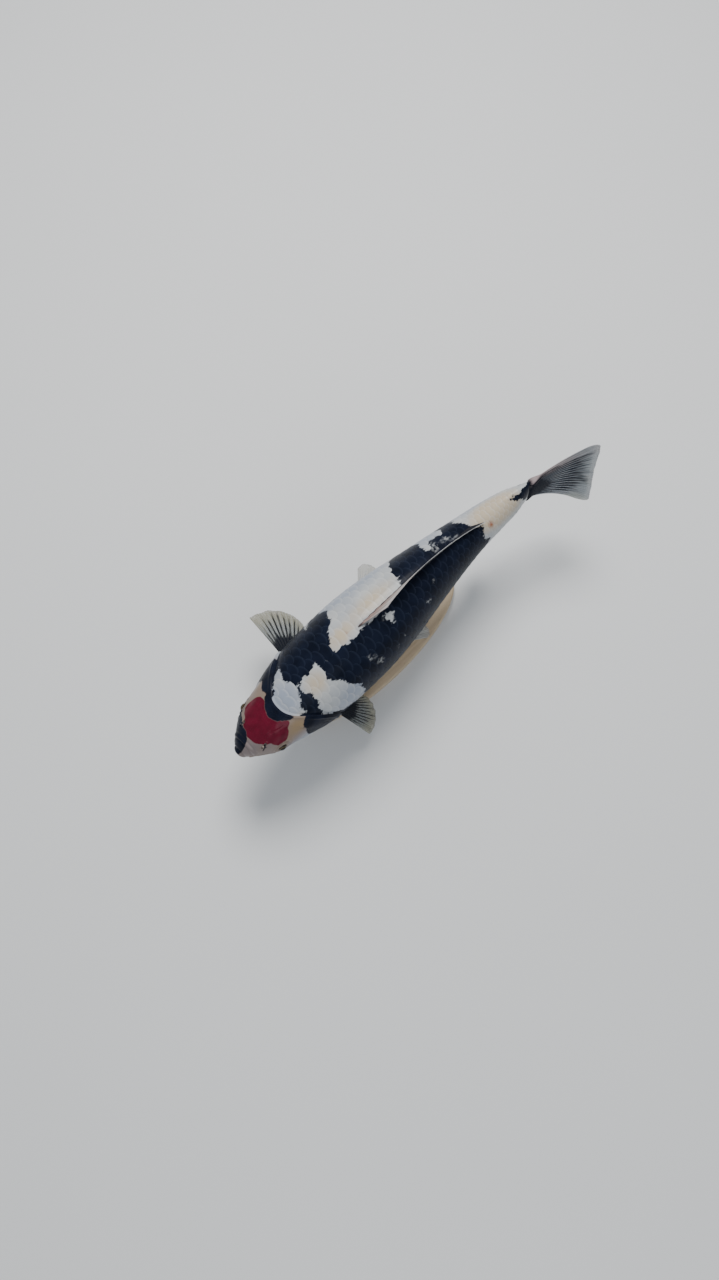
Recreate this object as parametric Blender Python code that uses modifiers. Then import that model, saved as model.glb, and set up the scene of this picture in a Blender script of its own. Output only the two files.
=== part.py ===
"""A life-size koi carp, held over a flat base by two short rods.

Metres, +Z up. The head points to -Y and the fish's left side is +X.
A place on the fish is given by three numbers: how far along the midline it lies
from the snout, how far to the left of the midline, and how far above the axis.
A place on its skin is given by the distance from the snout and an angle, which
is 0 on the back, 90 degrees on the left flank and 180 degrees on the belly.
"""

import math

import bmesh
import bpy
import numpy as np
from mathutils import Vector

# --- Driving dimensions -------------------------------------------------------

BODY_LENGTH = 0.507  # snout to the end of the fleshy tail root
AXIS_HEIGHT = 0.140  # the body's axis over the floor
GAP = 0.0005  # left between neighbouring solids
SKIN_SIDES = 36  # facets round the body

# The midline's heading in plan, from +Y towards the fish's left.
HEAD_TURN = math.radians(-2.3)
TAIL_TURN = math.radians(32.0)
BEND_START = 0.255
BEND_END = 0.600
BEND_POWER = 3.0

# The back leans this far to the fish's left, and the tail stands upright again.
ROLL = math.radians(5.0)
ROLL_ENDS = (0.400, 0.500)

# Where the body is divided.
NAPE = 0.074  # front of the trunk on the back
GILL_EDGE = 0.126  # front of the trunk on the flanks
THROAT = 0.098  # front of the trunk on the belly
VENT = 0.378  # front of the tail

# Distance from the snout, half width, back and belly over the axis.
STATIONS = np.array(
    (
        (0.006, 0.0110, -0.0050, -0.0295),
        (0.012, 0.0167, 0.0030, -0.0320),
        (0.020, 0.0230, 0.0105, -0.0352),
        (0.031, 0.0300, 0.0185, -0.0390),
        (0.047, 0.0364, 0.0280, -0.0440),
        (0.070, 0.0422, 0.0395, -0.0505),
        (0.100, 0.0484, 0.0508, -0.0575),
        (0.130, 0.0546, 0.0590, -0.0635),
        (0.165, 0.0563, 0.0655, -0.0685),
        (0.215, 0.0561, 0.0692, -0.0708),
        (0.260, 0.0514, 0.0672, -0.0690),
        (0.310, 0.0430, 0.0595, -0.0630),
        (0.360, 0.0345, 0.0480, -0.0525),
        (0.410, 0.0267, 0.0355, -0.0395),
        (0.455, 0.0209, 0.0272, -0.0305),
        (0.480, 0.0162, 0.0255, -0.0280),
        (0.497, 0.0099, 0.0262, -0.0280),
        (BODY_LENGTH, 0.0045, 0.0265, -0.0280),
    )
)
WIDEST_LEVEL = 0.46  # of the body's depth, up from the belly

# The lips, as rings from the slit outwards, in the stations' columns.
LIP_RINGS = (
    (0.0042, 0.0046, -0.0178, -0.0202),
    (0.0004, 0.0058, -0.0150, -0.0236),
    (0.0010, 0.0074, -0.0118, -0.0266),
    (0.0030, 0.0088, -0.0090, -0.0282),
)
MOUTH = (0.0050, -0.0190)  # the slit's distance and height

# How full a section is: under 1 is flatter than an ellipse, over 1 is a ridge.
HEAD_TOP_FULLNESS = 0.84
BACK_FULLNESS = 1.06
BELLY_FULLNESS = 0.92

EYE_PLACE = (0.0440, math.radians(75.0))
EYE_RADIUS = 0.0074
EYE_STANDS_OUT = 0.0034

GILL_COVER_PLACE = (0.0925, math.radians(98.0))
GILL_COVER_REACH = (0.0255, math.radians(36.0))
GILL_COVER_DEPTH = 0.0040
GILL_COVER_PROUD = 0.0006
GILL_COVER_SIDES = 26

PECTORAL_BASE = ((0.127, math.radians(125.0)), (0.145, math.radians(141.0)))
PELVIC_BASE = ((0.240, math.radians(152.0)), (0.255, math.radians(161.0)))
# The first and last rays' directions (outwards, back, up), then the lengths of the
# first, the longest and the last ray, then how far the tip droops.
PAIRED_FINS = {
    ("pectoral", 1): ((0.56, 0.27, -0.78), (0.16, 0.80, -0.58), (0.075, 0.078, 0.032), 0.003),
    ("pectoral", -1): ((0.99, 0.04, -0.04), (0.36, 0.90, -0.18), (0.079, 0.078, 0.022), 0.003),
    ("pelvic", 1): ((0.42, 0.86, -0.30), (0.06, 0.97, -0.22), (0.060, 0.064, 0.030), 0.002),
    ("pelvic", -1): ((0.74, 0.66, -0.08), (0.16, 0.97, -0.20), (0.071, 0.078, 0.032), 0.002),
}
ANAL_BASE = (0.384, 0.418)
DORSAL_BASE = (0.203, 0.402)

FIN_THICKNESS = 0.0012
CAUDAL_HALF_ROOT = 0.0262
CAUDAL_SPREAD = math.radians(21.0)
CAUDAL_UPPER_LOBE = 0.099
CAUDAL_LOWER_LOBE = 0.097
CAUDAL_FORK = 0.094
CAUDAL_UPPER_LEAN = math.radians(13.0)  # towards the fish's right
CAUDAL_LOWER_LEAN = math.radians(18.0)  # towards its left
CAUDAL_CURL = 0.0105  # how far its edge curls to the left
TAIL_ROOT_MID = -0.0008

STAND_CENTRE = 0.240  # along the fish
STAND_LENGTH = 0.300
STAND_WIDTH = 0.098
STAND_THICKNESS = 0.012
STAND_EDGE = 0.0025
ROD_RADIUS = 0.0040
ROD_PLACES = {"stand_rod_front": 0.158, "stand_rod_rear": 0.322}

COLOURS = {
    "white": (0.78, 0.77, 0.72),
    "black": (0.012, 0.014, 0.022),
    "red": (0.50, 0.02, 0.02),
    "cheek": (0.62, 0.56, 0.44),
    "fin": (0.30, 0.33, 0.36),
    "eye": (0.02, 0.02, 0.02),
    "maple": (0.74, 0.66, 0.54),
    "steel": (0.60, 0.61, 0.62),
}


# --- The body's shape ---------------------------------------------------------

MIDLINE_AT = np.linspace(0.0, 0.640, 641)


def heading(along):
    """The midline's heading in plan at these distances from the snout."""
    bend = np.clip((along - BEND_START) / (BEND_END - BEND_START), 0.0, 1.3)
    return HEAD_TURN + TAIL_TURN * bend**BEND_POWER


def running_sum(rates):
    """The integral of rates along the midline, from the snout on."""
    step = MIDLINE_AT[1] - MIDLINE_AT[0]
    means = (rates[1:] + rates[:-1]) / 2
    return np.concatenate(([0.0], np.cumsum(means) * step))


MIDLINE_X = running_sum(np.sin(heading(MIDLINE_AT)))
MIDLINE_Y = running_sum(np.cos(heading(MIDLINE_AT)))


def world(along, left, up):
    """The point at this place on the fish."""
    turn = float(heading(np.asarray(along)))
    roll = float(np.interp(along, ROLL_ENDS, (ROLL, 0.0)))
    across = left * math.cos(roll) + up * math.sin(roll)
    rise = up * math.cos(roll) - left * math.sin(roll)
    x = float(np.interp(along, MIDLINE_AT, MIDLINE_X)) + across * math.cos(turn)
    y = float(np.interp(along, MIDLINE_AT, MIDLINE_Y)) - across * math.sin(turn)
    return Vector((x, y, AXIS_HEIGHT + rise))


def station(along):
    """Half width, back and belly at a distance, on smooth curves through the stations."""
    places = STATIONS[:, 0]
    after = int(np.clip(np.searchsorted(places, along), 1, len(places) - 1))
    span = places[after] - places[after - 1]
    t = min(max((along - places[after - 1]) / span, 0.0), 1.0)
    slopes = np.gradient(STATIONS[:, 1:], places, axis=0) * span
    return (
        (2 * t**3 - 3 * t**2 + 1) * STATIONS[after - 1, 1:]
        + (t**3 - 2 * t**2 + t) * slopes[after - 1]
        + (3 * t**2 - 2 * t**3) * STATIONS[after, 1:]
        + (t**3 - t**2) * slopes[after]
    )


def section_point(shape, angle, top_fullness):
    """Left and up, on a section of this half width, back and belly."""
    half_width, back, belly = shape
    middle = belly + WIDEST_LEVEL * (back - belly)
    over = math.cos(angle) >= 0
    fullness = top_fullness if over else BELLY_FULLNESS
    left = half_width * math.copysign(abs(math.sin(angle)) ** fullness, math.sin(angle))
    up = middle + math.cos(angle) * ((back - middle) if over else (middle - belly))
    return left, up


def top_fullness(along):
    """The head is flat on top, and the back rises to a low ridge."""
    ridge = min(max((along - 0.055) / 0.090, 0.0), 1.0)
    ridge = ridge * ridge * (3 - 2 * ridge)
    return HEAD_TOP_FULLNESS + (BACK_FULLNESS - HEAD_TOP_FULLNESS) * ridge


def skin(along, angle, out=0.0):
    """The point on the skin, or this far outside it."""
    point = world(along, *section_point(station(along), angle, top_fullness(along)))
    return point + skin_normal(along, angle) * out if out else point


def skin_normal(along, angle):
    """The skin's outward direction."""
    lengthwise = skin(along + 0.001, angle) - skin(along - 0.001, angle)
    round_it = skin(along, angle + 0.02) - skin(along, angle - 0.02)
    return round_it.cross(lengthwise).normalized()


def trunk_front(angle):
    """Where the head meets the trunk: far forward on the nape, less so on the throat."""
    rise = math.cos(angle)
    forward = (GILL_EDGE - NAPE) if rise > 0 else (GILL_EDGE - THROAT)
    return GILL_EDGE - forward * abs(rise) ** 1.5


# --- Building -----------------------------------------------------------------


def clear_scene():
    for thing in list(bpy.data.objects):
        bpy.data.objects.remove(thing, do_unlink=True)


def collection(name, hidden=False):
    made = bpy.data.collections.new(name)
    bpy.context.scene.collection.children.link(made)
    made.hide_render = hidden
    return made


def material(name, colour, roughness=0.35, metallic=0.0):
    made = bpy.data.materials.new(name)
    made.use_nodes = True
    shader = made.node_tree.nodes["Principled BSDF"]
    shader.inputs["Base Color"].default_value = (*COLOURS[colour], 1.0)
    shader.inputs["Roughness"].default_value = roughness
    shader.inputs["Metallic"].default_value = metallic
    return made


def add_object(name, data, colour, roughness=0.35, metallic=0.0):
    """A new sub-part in the fish's collection, under its parent."""
    thing = bpy.data.objects.new(name, data)
    FISH.objects.link(thing)
    thing.parent = ORIGIN
    data.materials.append(material(name, colour, roughness, metallic))
    return thing


def add_mesh(name, bm, colour, roughness=0.35, metallic=0.0):
    bmesh.ops.recalc_face_normals(bm, faces=bm.faces)
    mesh = bpy.data.meshes.new(name)
    bm.to_mesh(mesh)
    bm.free()
    mesh.shade_smooth()
    return add_object(name, mesh, colour, roughness, metallic)


def make_cutter(thing):
    """Turns a sub-part into a helper that the build leaves out."""
    FISH.objects.unlink(thing)
    CUTTERS.objects.link(thing)
    thing.hide_render = True
    thing.display_type = "WIRE"
    return thing


def cut(thing, cutter):
    modifier = thing.modifiers.new("cut " + cutter.name, "BOOLEAN")
    modifier.operation = "DIFFERENCE"
    modifier.solver = "EXACT"
    modifier.object = cutter


def loft(name, rings, first, last, colour, roughness=0.35):
    """A closed body through rings of points, with a middle point at each end."""
    bm = bmesh.new()
    loops = [[bm.verts.new(point) for point in ring] for ring in rings]
    sides = len(loops[0])
    for near, far in zip(loops, loops[1:]):
        for i in range(sides):
            j = (i + 1) % sides
            bm.faces.new((near[i], near[j], far[j], far[i]))
    for loop, middle in ((loops[0], first), (loops[-1], last)):
        tip = bm.verts.new(middle)
        for i in range(sides):
            bm.faces.new((loop[i], loop[(i + 1) % sides], tip))
    return add_mesh(name, bm, colour, roughness)


def angles():
    return [math.tau * (i + 0.5) / SKIN_SIDES for i in range(SKIN_SIDES)]


def even_steps(start, end, count):
    return [start + (end - start) * i / count for i in range(count + 1)]


def build_head():
    """Lips, snout and skull, back to a slanted face over the gills."""
    rings = []
    for along, *shape in LIP_RINGS:
        flat = (section_point(shape, angle, 0.8) for angle in angles())
        rings.append([world(along, left, up) for left, up in flat])
    for along in (*STATIONS[:4, 0], 0.038, 0.047, 0.056):
        rings.append([skin(along, angle) for angle in angles()])
    for share in even_steps(0.0, 1.0, 7)[1:]:
        start = 0.056
        rings.append(
            [
                skin(start + share * (trunk_front(angle) - start), angle)
                for angle in angles()
            ]
        )
    end = world(GILL_EDGE - 0.012, 0.0, 0.0)
    return loft("head", rings, world(MOUTH[0], 0.0, MOUTH[1]), end, "red")


def build_trunk():
    """From the gills to the vent."""
    rings = []
    for share in even_steps(0.0, 1.0, 15):
        rings.append(
            [
                skin(trunk_front(a) + GAP + share * (VENT - trunk_front(a) - GAP), a)
                for a in angles()
            ]
        )
    start = world(GILL_EDGE - 0.012 + GAP, 0.0, 0.0)
    return loft("trunk", rings, start, world(VENT, 0.0, -0.003), "black")


def build_tail():
    """From the vent to the root of the tail fin."""
    places = (*even_steps(VENT + GAP, 0.480, 8), 0.489, 0.497, 0.503, BODY_LENGTH)
    rings = [[skin(along, angle) for angle in angles()] for along in places]
    start = world(VENT + GAP, 0.0, -0.003)
    end = world(BODY_LENGTH, 0.0, TAIL_ROOT_MID)
    return loft("tail", rings, start, end, "white")


def side_name(name, side):
    return f"{name}_{'left' if side > 0 else 'right'}"


def build_eye(side, head):
    """An eyeball in a socket of its own shape."""
    along, angle = EYE_PLACE
    middle = skin(along, side * angle, EYE_STANDS_OUT - EYE_RADIUS)
    socket = None
    for name, radius in (("eye", EYE_RADIUS), ("eye_socket", EYE_RADIUS + GAP)):
        bm = bmesh.new()
        bmesh.ops.create_uvsphere(bm, u_segments=16, v_segments=10, radius=radius)
        socket = add_mesh(side_name(name, side), bm, "eye", 0.08)
        socket.location = middle
    cut(head, make_cutter(socket))


def cover_ring(side, share, out, wider=0.0):
    """A ring round the middle of a gill cover, on the skin or off it."""
    along, angle = GILL_COVER_PLACE
    reach_along, reach_angle = GILL_COVER_REACH
    radius = math.hypot(*station(along)[:2])
    points = []
    for i in range(GILL_COVER_SIDES):
        turn = math.tau * i / GILL_COVER_SIDES
        squareness = (abs(math.cos(turn)) ** 2.6 + abs(math.sin(turn)) ** 2.6) ** (-1 / 2.6)
        far = share * squareness
        points.append(
            skin(
                along + math.cos(turn) * (reach_along * far + wider),
                side * (angle + math.sin(turn) * (reach_angle * far + wider / radius)),
                out,
            )
        )
    return points


def build_gill_cover(side, head):
    """A bony plate let into the side of the head, a little proud of it."""
    along, angle = GILL_COVER_PLACE
    for name, wider, deep, proud in (
        ("gill_cover", 0.0, GILL_COVER_DEPTH, GILL_COVER_PROUD),
        ("gill_recess", GAP, GILL_COVER_DEPTH + GAP, 0.004),
    ):
        rings = [
            cover_ring(side, 0.55, -deep, wider),
            cover_ring(side, 1.0, -deep, wider),
            cover_ring(side, 1.0, proud * 0.5, wider),
            cover_ring(side, 0.72, proud, wider),
            cover_ring(side, 0.36, proud, wider),
        ]
        plate = loft(
            side_name(name, side),
            rings,
            skin(along, side * angle, -deep),
            skin(along, side * angle, proud),
            "cheek",
        )
    cut(head, make_cutter(plate))


def build_barbel(name, start, steps, length, thickness):
    """A soft feeler that leaves the lip, then bends under the chin and tapers."""
    curve = bpy.data.curves.new(name, "CURVE")
    curve.dimensions = "3D"
    curve.bevel_depth = thickness / 2
    curve.bevel_resolution = 1
    curve.use_fill_caps = True
    count = 9
    spline = curve.splines.new("POLY")
    spline.points.add(count - 1)
    point = start.copy()
    for i, place in enumerate(spline.points):
        share = i / (count - 1)
        place.co = (*point, 1.0)
        place.radius = 1.0 - 0.55 * share
        step = steps[0].lerp(steps[1], min(1.0, 3.2 * share)).normalized()
        point = point + step * length / (count - 1)
    return add_object(name, curve, "cheek", 0.3)


def build_barbels(side):
    """A long feeler at the corner of the mouth and a short one on the upper lip."""
    for name, along, degrees, length, thickness, trail in (
        ("barbel_long", 0.0140, 132.0, 0.021, 0.0026, (0.0, 0.74, -0.68)),
        ("barbel_short", 0.0080, 94.0, 0.009, 0.0018, (0.30, 0.70, -0.60)),
    ):
        angle = side * math.radians(degrees)
        trailing = Vector((side * trail[0], trail[1], trail[2])).normalized()
        out = skin_normal(along, angle).lerp(trailing, 0.35)
        start = skin(along, angle, GAP)
        build_barbel(side_name(name, side), start, (out, trailing), length, thickness)


def build_fin(name, columns, rows, place_of, thickness=FIN_THICKNESS):
    """A curved sheet: columns across its rays, rows from its root to its edge."""
    bm = bmesh.new()
    bmesh.ops.create_grid(bm, x_segments=columns, y_segments=rows, size=0.5)
    for vert in bm.verts:
        vert.co = place_of(vert.co.x + 0.5, vert.co.y + 0.5)
    fin = add_mesh(name, bm, "fin", 0.3)
    wall = fin.modifiers.new("thickness", "SOLIDIFY")
    wall.thickness = thickness
    wall.offset = 0.0
    return fin


def ray_length(across, front, longest, rear):
    """Rays grow quickly from the front one to the longest, then shorten to the rear."""
    crest = 0.16
    if across < crest:
        return front + (longest - front) * math.sin(math.pi / 2 * across / crest)
    fall = (across - crest) / (1 - crest)
    return rear + (longest - rear) * math.cos(math.pi / 2 * fall)


def paired_fin_place(side, base, rays, lengths, droop):
    """The places on a fin whose root lies on the skin. rays are its first and last directions."""
    (along_a, angle_a), (along_b, angle_b) = base
    first, last = (Vector((side * ray[0], ray[1], ray[2])).normalized() for ray in rays)

    def place_of(across, outward):
        along = along_a + (along_b - along_a) * across
        angle = side * (angle_a + (angle_b - angle_a) * across)
        root = skin(along, angle, FIN_THICKNESS * 0.8)
        ray = first.lerp(last, across).normalized()
        reach = ray_length(across, *lengths) * outward
        sag = Vector((0.0, 0.0, -droop * outward**2))
        return root + ray * reach + sag

    return place_of


def build_paired_fins():
    for (name, side), (first, last, lengths, droop) in PAIRED_FINS.items():
        base = PECTORAL_BASE if name == "pectoral" else PELVIC_BASE
        columns, rows = (11, 6) if name == "pectoral" else (9, 5)
        place_of = paired_fin_place(side, base, (first, last), lengths, droop)
        build_fin(side_name("fin_" + name, side), columns, rows, place_of)


def dorsal_place(across, outward):
    """Half folded: long rays swept back low over the ridge, their tips to its left."""
    start, end = DORSAL_BASE
    along = start + (end - start) * across
    root = skin(along, 0.0, FIN_THICKNESS * 0.7)
    back = (skin(along + 0.004, 0.0) - skin(along - 0.004, 0.0)).normalized()
    left = back.cross(Vector((0.0, 0.0, 1.0))).normalized()
    up = left.cross(back)
    rise = math.radians(17.0 - 11.0 * across)
    reach = ray_length(across, 0.040, 0.058, 0.020) * outward
    sway = (0.008 * (1.0 - across) ** 8 + 0.007 * across**3 + 0.0018) * outward
    return root + back * reach * math.cos(rise) + up * reach * math.sin(rise) + left * sway


def anal_place(across, outward):
    """Half folded under the tail."""
    start, end = ANAL_BASE
    root = skin(start + (end - start) * across, math.pi, FIN_THICKNESS * 0.7)
    drop = math.radians(50.0 - 14.0 * across)
    reach = ray_length(across, 0.044, 0.056, 0.022) * outward
    turn = float(heading(np.asarray(start)))
    back = Vector((math.sin(turn), math.cos(turn), 0.0)) * reach * math.cos(drop)
    return root + back - Vector((0.0, 0.0, reach * math.sin(drop)))


def caudal_place(across, outward):
    """Two rounded lobes round a shallow fork, curling to the left with the midline."""
    side = 2 * across - 1
    lobe = abs(side)
    swell = math.sin(math.pi / 2 * min(1.0, lobe / 0.86)) ** 2.2
    upper = 0.5 + 0.5 * math.sin(math.pi / 2 * side)
    longest = CAUDAL_LOWER_LOBE + (CAUDAL_UPPER_LOBE - CAUDAL_LOWER_LOBE) * upper
    length = CAUDAL_FORK + (longest - CAUDAL_FORK) * swell
    length -= 0.017 * max(0.0, (lobe - 0.80) / 0.20) ** 2
    spread = CAUDAL_SPREAD * side
    bow = 0.002 * side * math.sin(math.pi * outward)
    along = BODY_LENGTH + GAP + length * math.cos(spread) * outward
    up = TAIL_ROOT_MID + CAUDAL_HALF_ROOT * side + length * math.sin(spread) * outward + bow
    lean = CAUDAL_LOWER_LEAN + (CAUDAL_UPPER_LEAN - CAUDAL_LOWER_LEAN) * upper
    far = (along - BODY_LENGTH) / CAUDAL_FORK
    leaning = math.tan(lean) * min(1.0, far) ** 2
    return world(along, CAUDAL_CURL * far**2 - leaning * up, up)


def build_stand():
    """An oval plate with a softened edge, and two rods up to the belly."""
    middle = world(STAND_CENTRE, 0.0, 0.0)
    bm = bmesh.new()
    bmesh.ops.create_cone(bm, cap_ends=True, segments=56, radius1=0.5, radius2=0.5, depth=1.0)
    for vert in bm.verts:
        vert.co.x *= STAND_WIDTH
        vert.co.y *= STAND_LENGTH
        vert.co.z = (vert.co.z + 0.5) * STAND_THICKNESS
    rims = [edge for edge in bm.edges if abs(edge.verts[0].co.z - edge.verts[1].co.z) < 1e-6]
    bmesh.ops.bevel(
        bm, geom=rims, offset=STAND_EDGE, affect="EDGES", segments=2, profile=0.5, material=-1
    )
    base = add_mesh("stand_base", bm, "maple", 0.45)
    base.location = (middle.x, middle.y, 0.0)
    base.rotation_euler.z = -HEAD_TURN
    for name, along in ROD_PLACES.items():
        foot = STAND_THICKNESS + GAP
        near = [(step * ROD_RADIUS, turn) for step in (-1, 0, 1) for turn in (-0.08, 0.0, 0.08)]
        top = min(skin(along + step, math.pi + turn).z for step, turn in near) - GAP
        bm = bmesh.new()
        bmesh.ops.create_cone(
            bm, cap_ends=True, segments=20, radius1=ROD_RADIUS, radius2=ROD_RADIUS, depth=top - foot
        )
        rod = add_mesh(name, bm, "steel", 0.25, 1.0)
        rod.location = skin(along, math.pi)
        rod.location.z = (top + foot) / 2


def centre_on_origin():
    """Moves the parent so that the model's box is centred over the origin."""
    bpy.context.view_layer.update()
    graph = bpy.context.evaluated_depsgraph_get()
    corners = []
    for thing in FISH.objects:
        if thing.type == "EMPTY":
            continue
        evaluated = thing.evaluated_get(graph)
        mesh = evaluated.to_mesh()
        corners += [evaluated.matrix_world @ vert.co for vert in mesh.vertices]
        evaluated.to_mesh_clear()
    for axis in (0, 1):
        values = [corner[axis] for corner in corners]
        ORIGIN.location[axis] = -(min(values) + max(values)) / 2


clear_scene()
FISH = collection("koi_carp")
CUTTERS = collection("koi_carp_cutters", hidden=True)
ORIGIN = bpy.data.objects.new("koi_carp_origin", None)
FISH.objects.link(ORIGIN)

head_object = build_head()
build_trunk()
build_tail()
for each_side in (1, -1):
    build_eye(each_side, head_object)
    build_gill_cover(each_side, head_object)
    build_barbels(each_side)
build_paired_fins()
build_fin("fin_dorsal", 22, 3, dorsal_place)
build_fin("fin_anal", 7, 5, anal_place)
build_fin("fin_caudal", 20, 8, caudal_place)
build_stand()
centre_on_origin()
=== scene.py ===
"""A life-size koi carp, still and swimming, on a plain display stand.

Metres, +Z up. The head points to -Y and the fish's left side is +X. A place on the skin
is given by how far along the midline it lies from the snout, and by an angle round the
body or a girth, the distance round the body from the back's midline, plus to the left.
"""

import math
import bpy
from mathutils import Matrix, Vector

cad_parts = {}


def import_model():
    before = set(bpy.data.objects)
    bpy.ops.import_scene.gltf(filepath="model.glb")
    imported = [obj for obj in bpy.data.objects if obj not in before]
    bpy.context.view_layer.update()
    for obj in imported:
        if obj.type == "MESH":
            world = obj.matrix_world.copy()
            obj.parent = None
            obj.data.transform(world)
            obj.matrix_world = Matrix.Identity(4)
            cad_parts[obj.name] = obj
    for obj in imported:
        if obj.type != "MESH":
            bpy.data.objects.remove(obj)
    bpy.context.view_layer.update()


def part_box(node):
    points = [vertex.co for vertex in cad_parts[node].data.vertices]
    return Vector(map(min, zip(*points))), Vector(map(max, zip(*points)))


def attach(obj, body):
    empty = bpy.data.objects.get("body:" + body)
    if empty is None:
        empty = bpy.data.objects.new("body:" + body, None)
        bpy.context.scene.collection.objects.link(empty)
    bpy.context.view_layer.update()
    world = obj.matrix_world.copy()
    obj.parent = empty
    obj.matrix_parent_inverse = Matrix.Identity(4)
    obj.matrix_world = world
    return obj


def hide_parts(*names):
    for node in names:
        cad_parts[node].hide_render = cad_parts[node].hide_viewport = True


bl_info = {
    "name": "Koi carp on a display stand",
    "version": (1, 0, 0),
    "blender": (4, 5, 0),
    "location": "3D View > Sidebar > Koi",
    "description": "Builds the skin, scales, fins and eyes of a life-size koi carp",
    "category": "Add Mesh",
}

from typing import NamedTuple

import bmesh
import bpy
import numpy as np
from bpy.props import FloatProperty, FloatVectorProperty, IntProperty, PointerProperty
from mathutils import Matrix, Vector

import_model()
SIDES = (1, -1)  # left and right

# --- The body's shape ---

BODY_LENGTH = 0.507
AXIS_HEIGHT = 0.14
HEAD_TURN = math.radians(-2.3)
TAIL_TURN = math.radians(32.0)
BEND_START, BEND_END, BEND_POWER = 0.255, 0.6, 3.0
ROLL = math.radians(5.0)
ROLL_ENDS = (0.4, 0.5)

NAPE, GILL_EDGE, THROAT = 0.07, 0.126, 0.098

# Distance from the snout, half width, back and belly over the axis.
STATIONS = np.array(
    (
        (0.006, 0.011, -0.005, -0.0295), (0.012, 0.0167, 0.003, -0.032),
        (0.02, 0.023, 0.0105, -0.0352), (0.031, 0.03, 0.0185, -0.039),
        (0.047, 0.0364, 0.028, -0.044), (0.07, 0.0422, 0.0395, -0.0505),
        (0.1, 0.0484, 0.0508, -0.0575), (0.13, 0.0546, 0.059, -0.0635),
        (0.165, 0.0563, 0.0655, -0.0685), (0.215, 0.0561, 0.0692, -0.0708),
        (0.26, 0.0514, 0.0672, -0.069), (0.31, 0.043, 0.0595, -0.063),
        (0.36, 0.0345, 0.048, -0.0525), (0.41, 0.0267, 0.0355, -0.0395),
        (0.455, 0.0209, 0.0272, -0.0305), (0.48, 0.0162, 0.0255, -0.028),
        (0.497, 0.0099, 0.0262, -0.028), (BODY_LENGTH, 0.0045, 0.0265, -0.028),
    )
)
# The lips, from inside the mouth outwards, in the stations' columns.
LIPS = np.array(
    (
        (0.0074, 0.0, -0.0187, -0.0187), (0.004, 0.0066, -0.0186, -0.0189),
        (0.0012, 0.0074, -0.0182, -0.0193), (-0.0003, 0.0083, -0.0164, -0.0214),
        (0.0001, 0.0092, -0.0139, -0.0241), (0.0016, 0.0099, -0.012, -0.026),
        (0.0033, 0.0101, -0.0112, -0.0268), (0.0046, 0.0103, -0.0098, -0.0274),
        (0.006, 0.011, -0.005, -0.0295),
    )
)
WIDEST_LEVEL = 0.46
LIP_FULLNESS = 0.8
HEAD_TOP_FULLNESS = 0.84
BACK_FULLNESS = 1.06
BELLY_FULLNESS = 0.92

EYE_ALONG = 0.044
EYE_ANGLE = math.radians(75.0)
EYE_RADIUS = 0.0074
EYE_STANDS_OUT = 0.0034

COAT_DEPTH = 0.0013
SCALE_ROWS = 12  # on each side
LATERAL_ROW = 5  # the row that carries the lateral line, counted from the back
LATERAL_MARK = 2.0  # what its scales' map has added
ROOT_SHARE = 0.22  # how far a marking's edge follows the scales' roots

FIN_GAP = 0.0012
PECTORAL_BASE = ((0.127, math.radians(125.0)), (0.145, math.radians(141.0)))
PELVIC_BASE = ((0.24, math.radians(152.0)), (0.255, math.radians(161.0)))
# The base, the first and last rays' directions (outwards, back, up), the lengths of the
# first, the longest and the last ray, and how far the tip droops.
PAIRED_FINS = {
    ("pectoral", 1): (
        PECTORAL_BASE, (0.56, 0.27, -0.78), (0.16, 0.8, -0.58), (0.075, 0.078, 0.032), 0.003,
    ),
    ("pectoral", -1): (
        PECTORAL_BASE, (0.99, 0.04, -0.04), (0.36, 0.9, -0.18), (0.079, 0.078, 0.022), 0.003,
    ),
    ("pelvic", 1): (
        PELVIC_BASE, (0.42, 0.86, -0.3), (0.06, 0.97, -0.22), (0.06, 0.064, 0.03), 0.002,
    ),
    ("pelvic", -1): (
        PELVIC_BASE, (0.74, 0.66, -0.08), (0.16, 0.97, -0.2), (0.071, 0.078, 0.032), 0.002,
    ),
}
ANAL_BASE, ANAL_RAYS = (0.384, 0.418), (0.044, 0.056, 0.022)
DORSAL_BASE, DORSAL_RAYS = (0.203, 0.402), (0.04, 0.058, 0.02)
CAUDAL_HALF_ROOT = 0.0262
CAUDAL_SPREAD = math.radians(21.0)
CAUDAL_UPPER_LOBE = 0.099
CAUDAL_LOWER_LOBE = 0.097
CAUDAL_FORK = 0.094
CAUDAL_UPPER_LEAN = math.radians(13.0)
CAUDAL_LOWER_LEAN = math.radians(18.0)
CAUDAL_CURL = 0.0105
TAIL_ROOT_MID = -0.0008

# --- The markings ---

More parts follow.
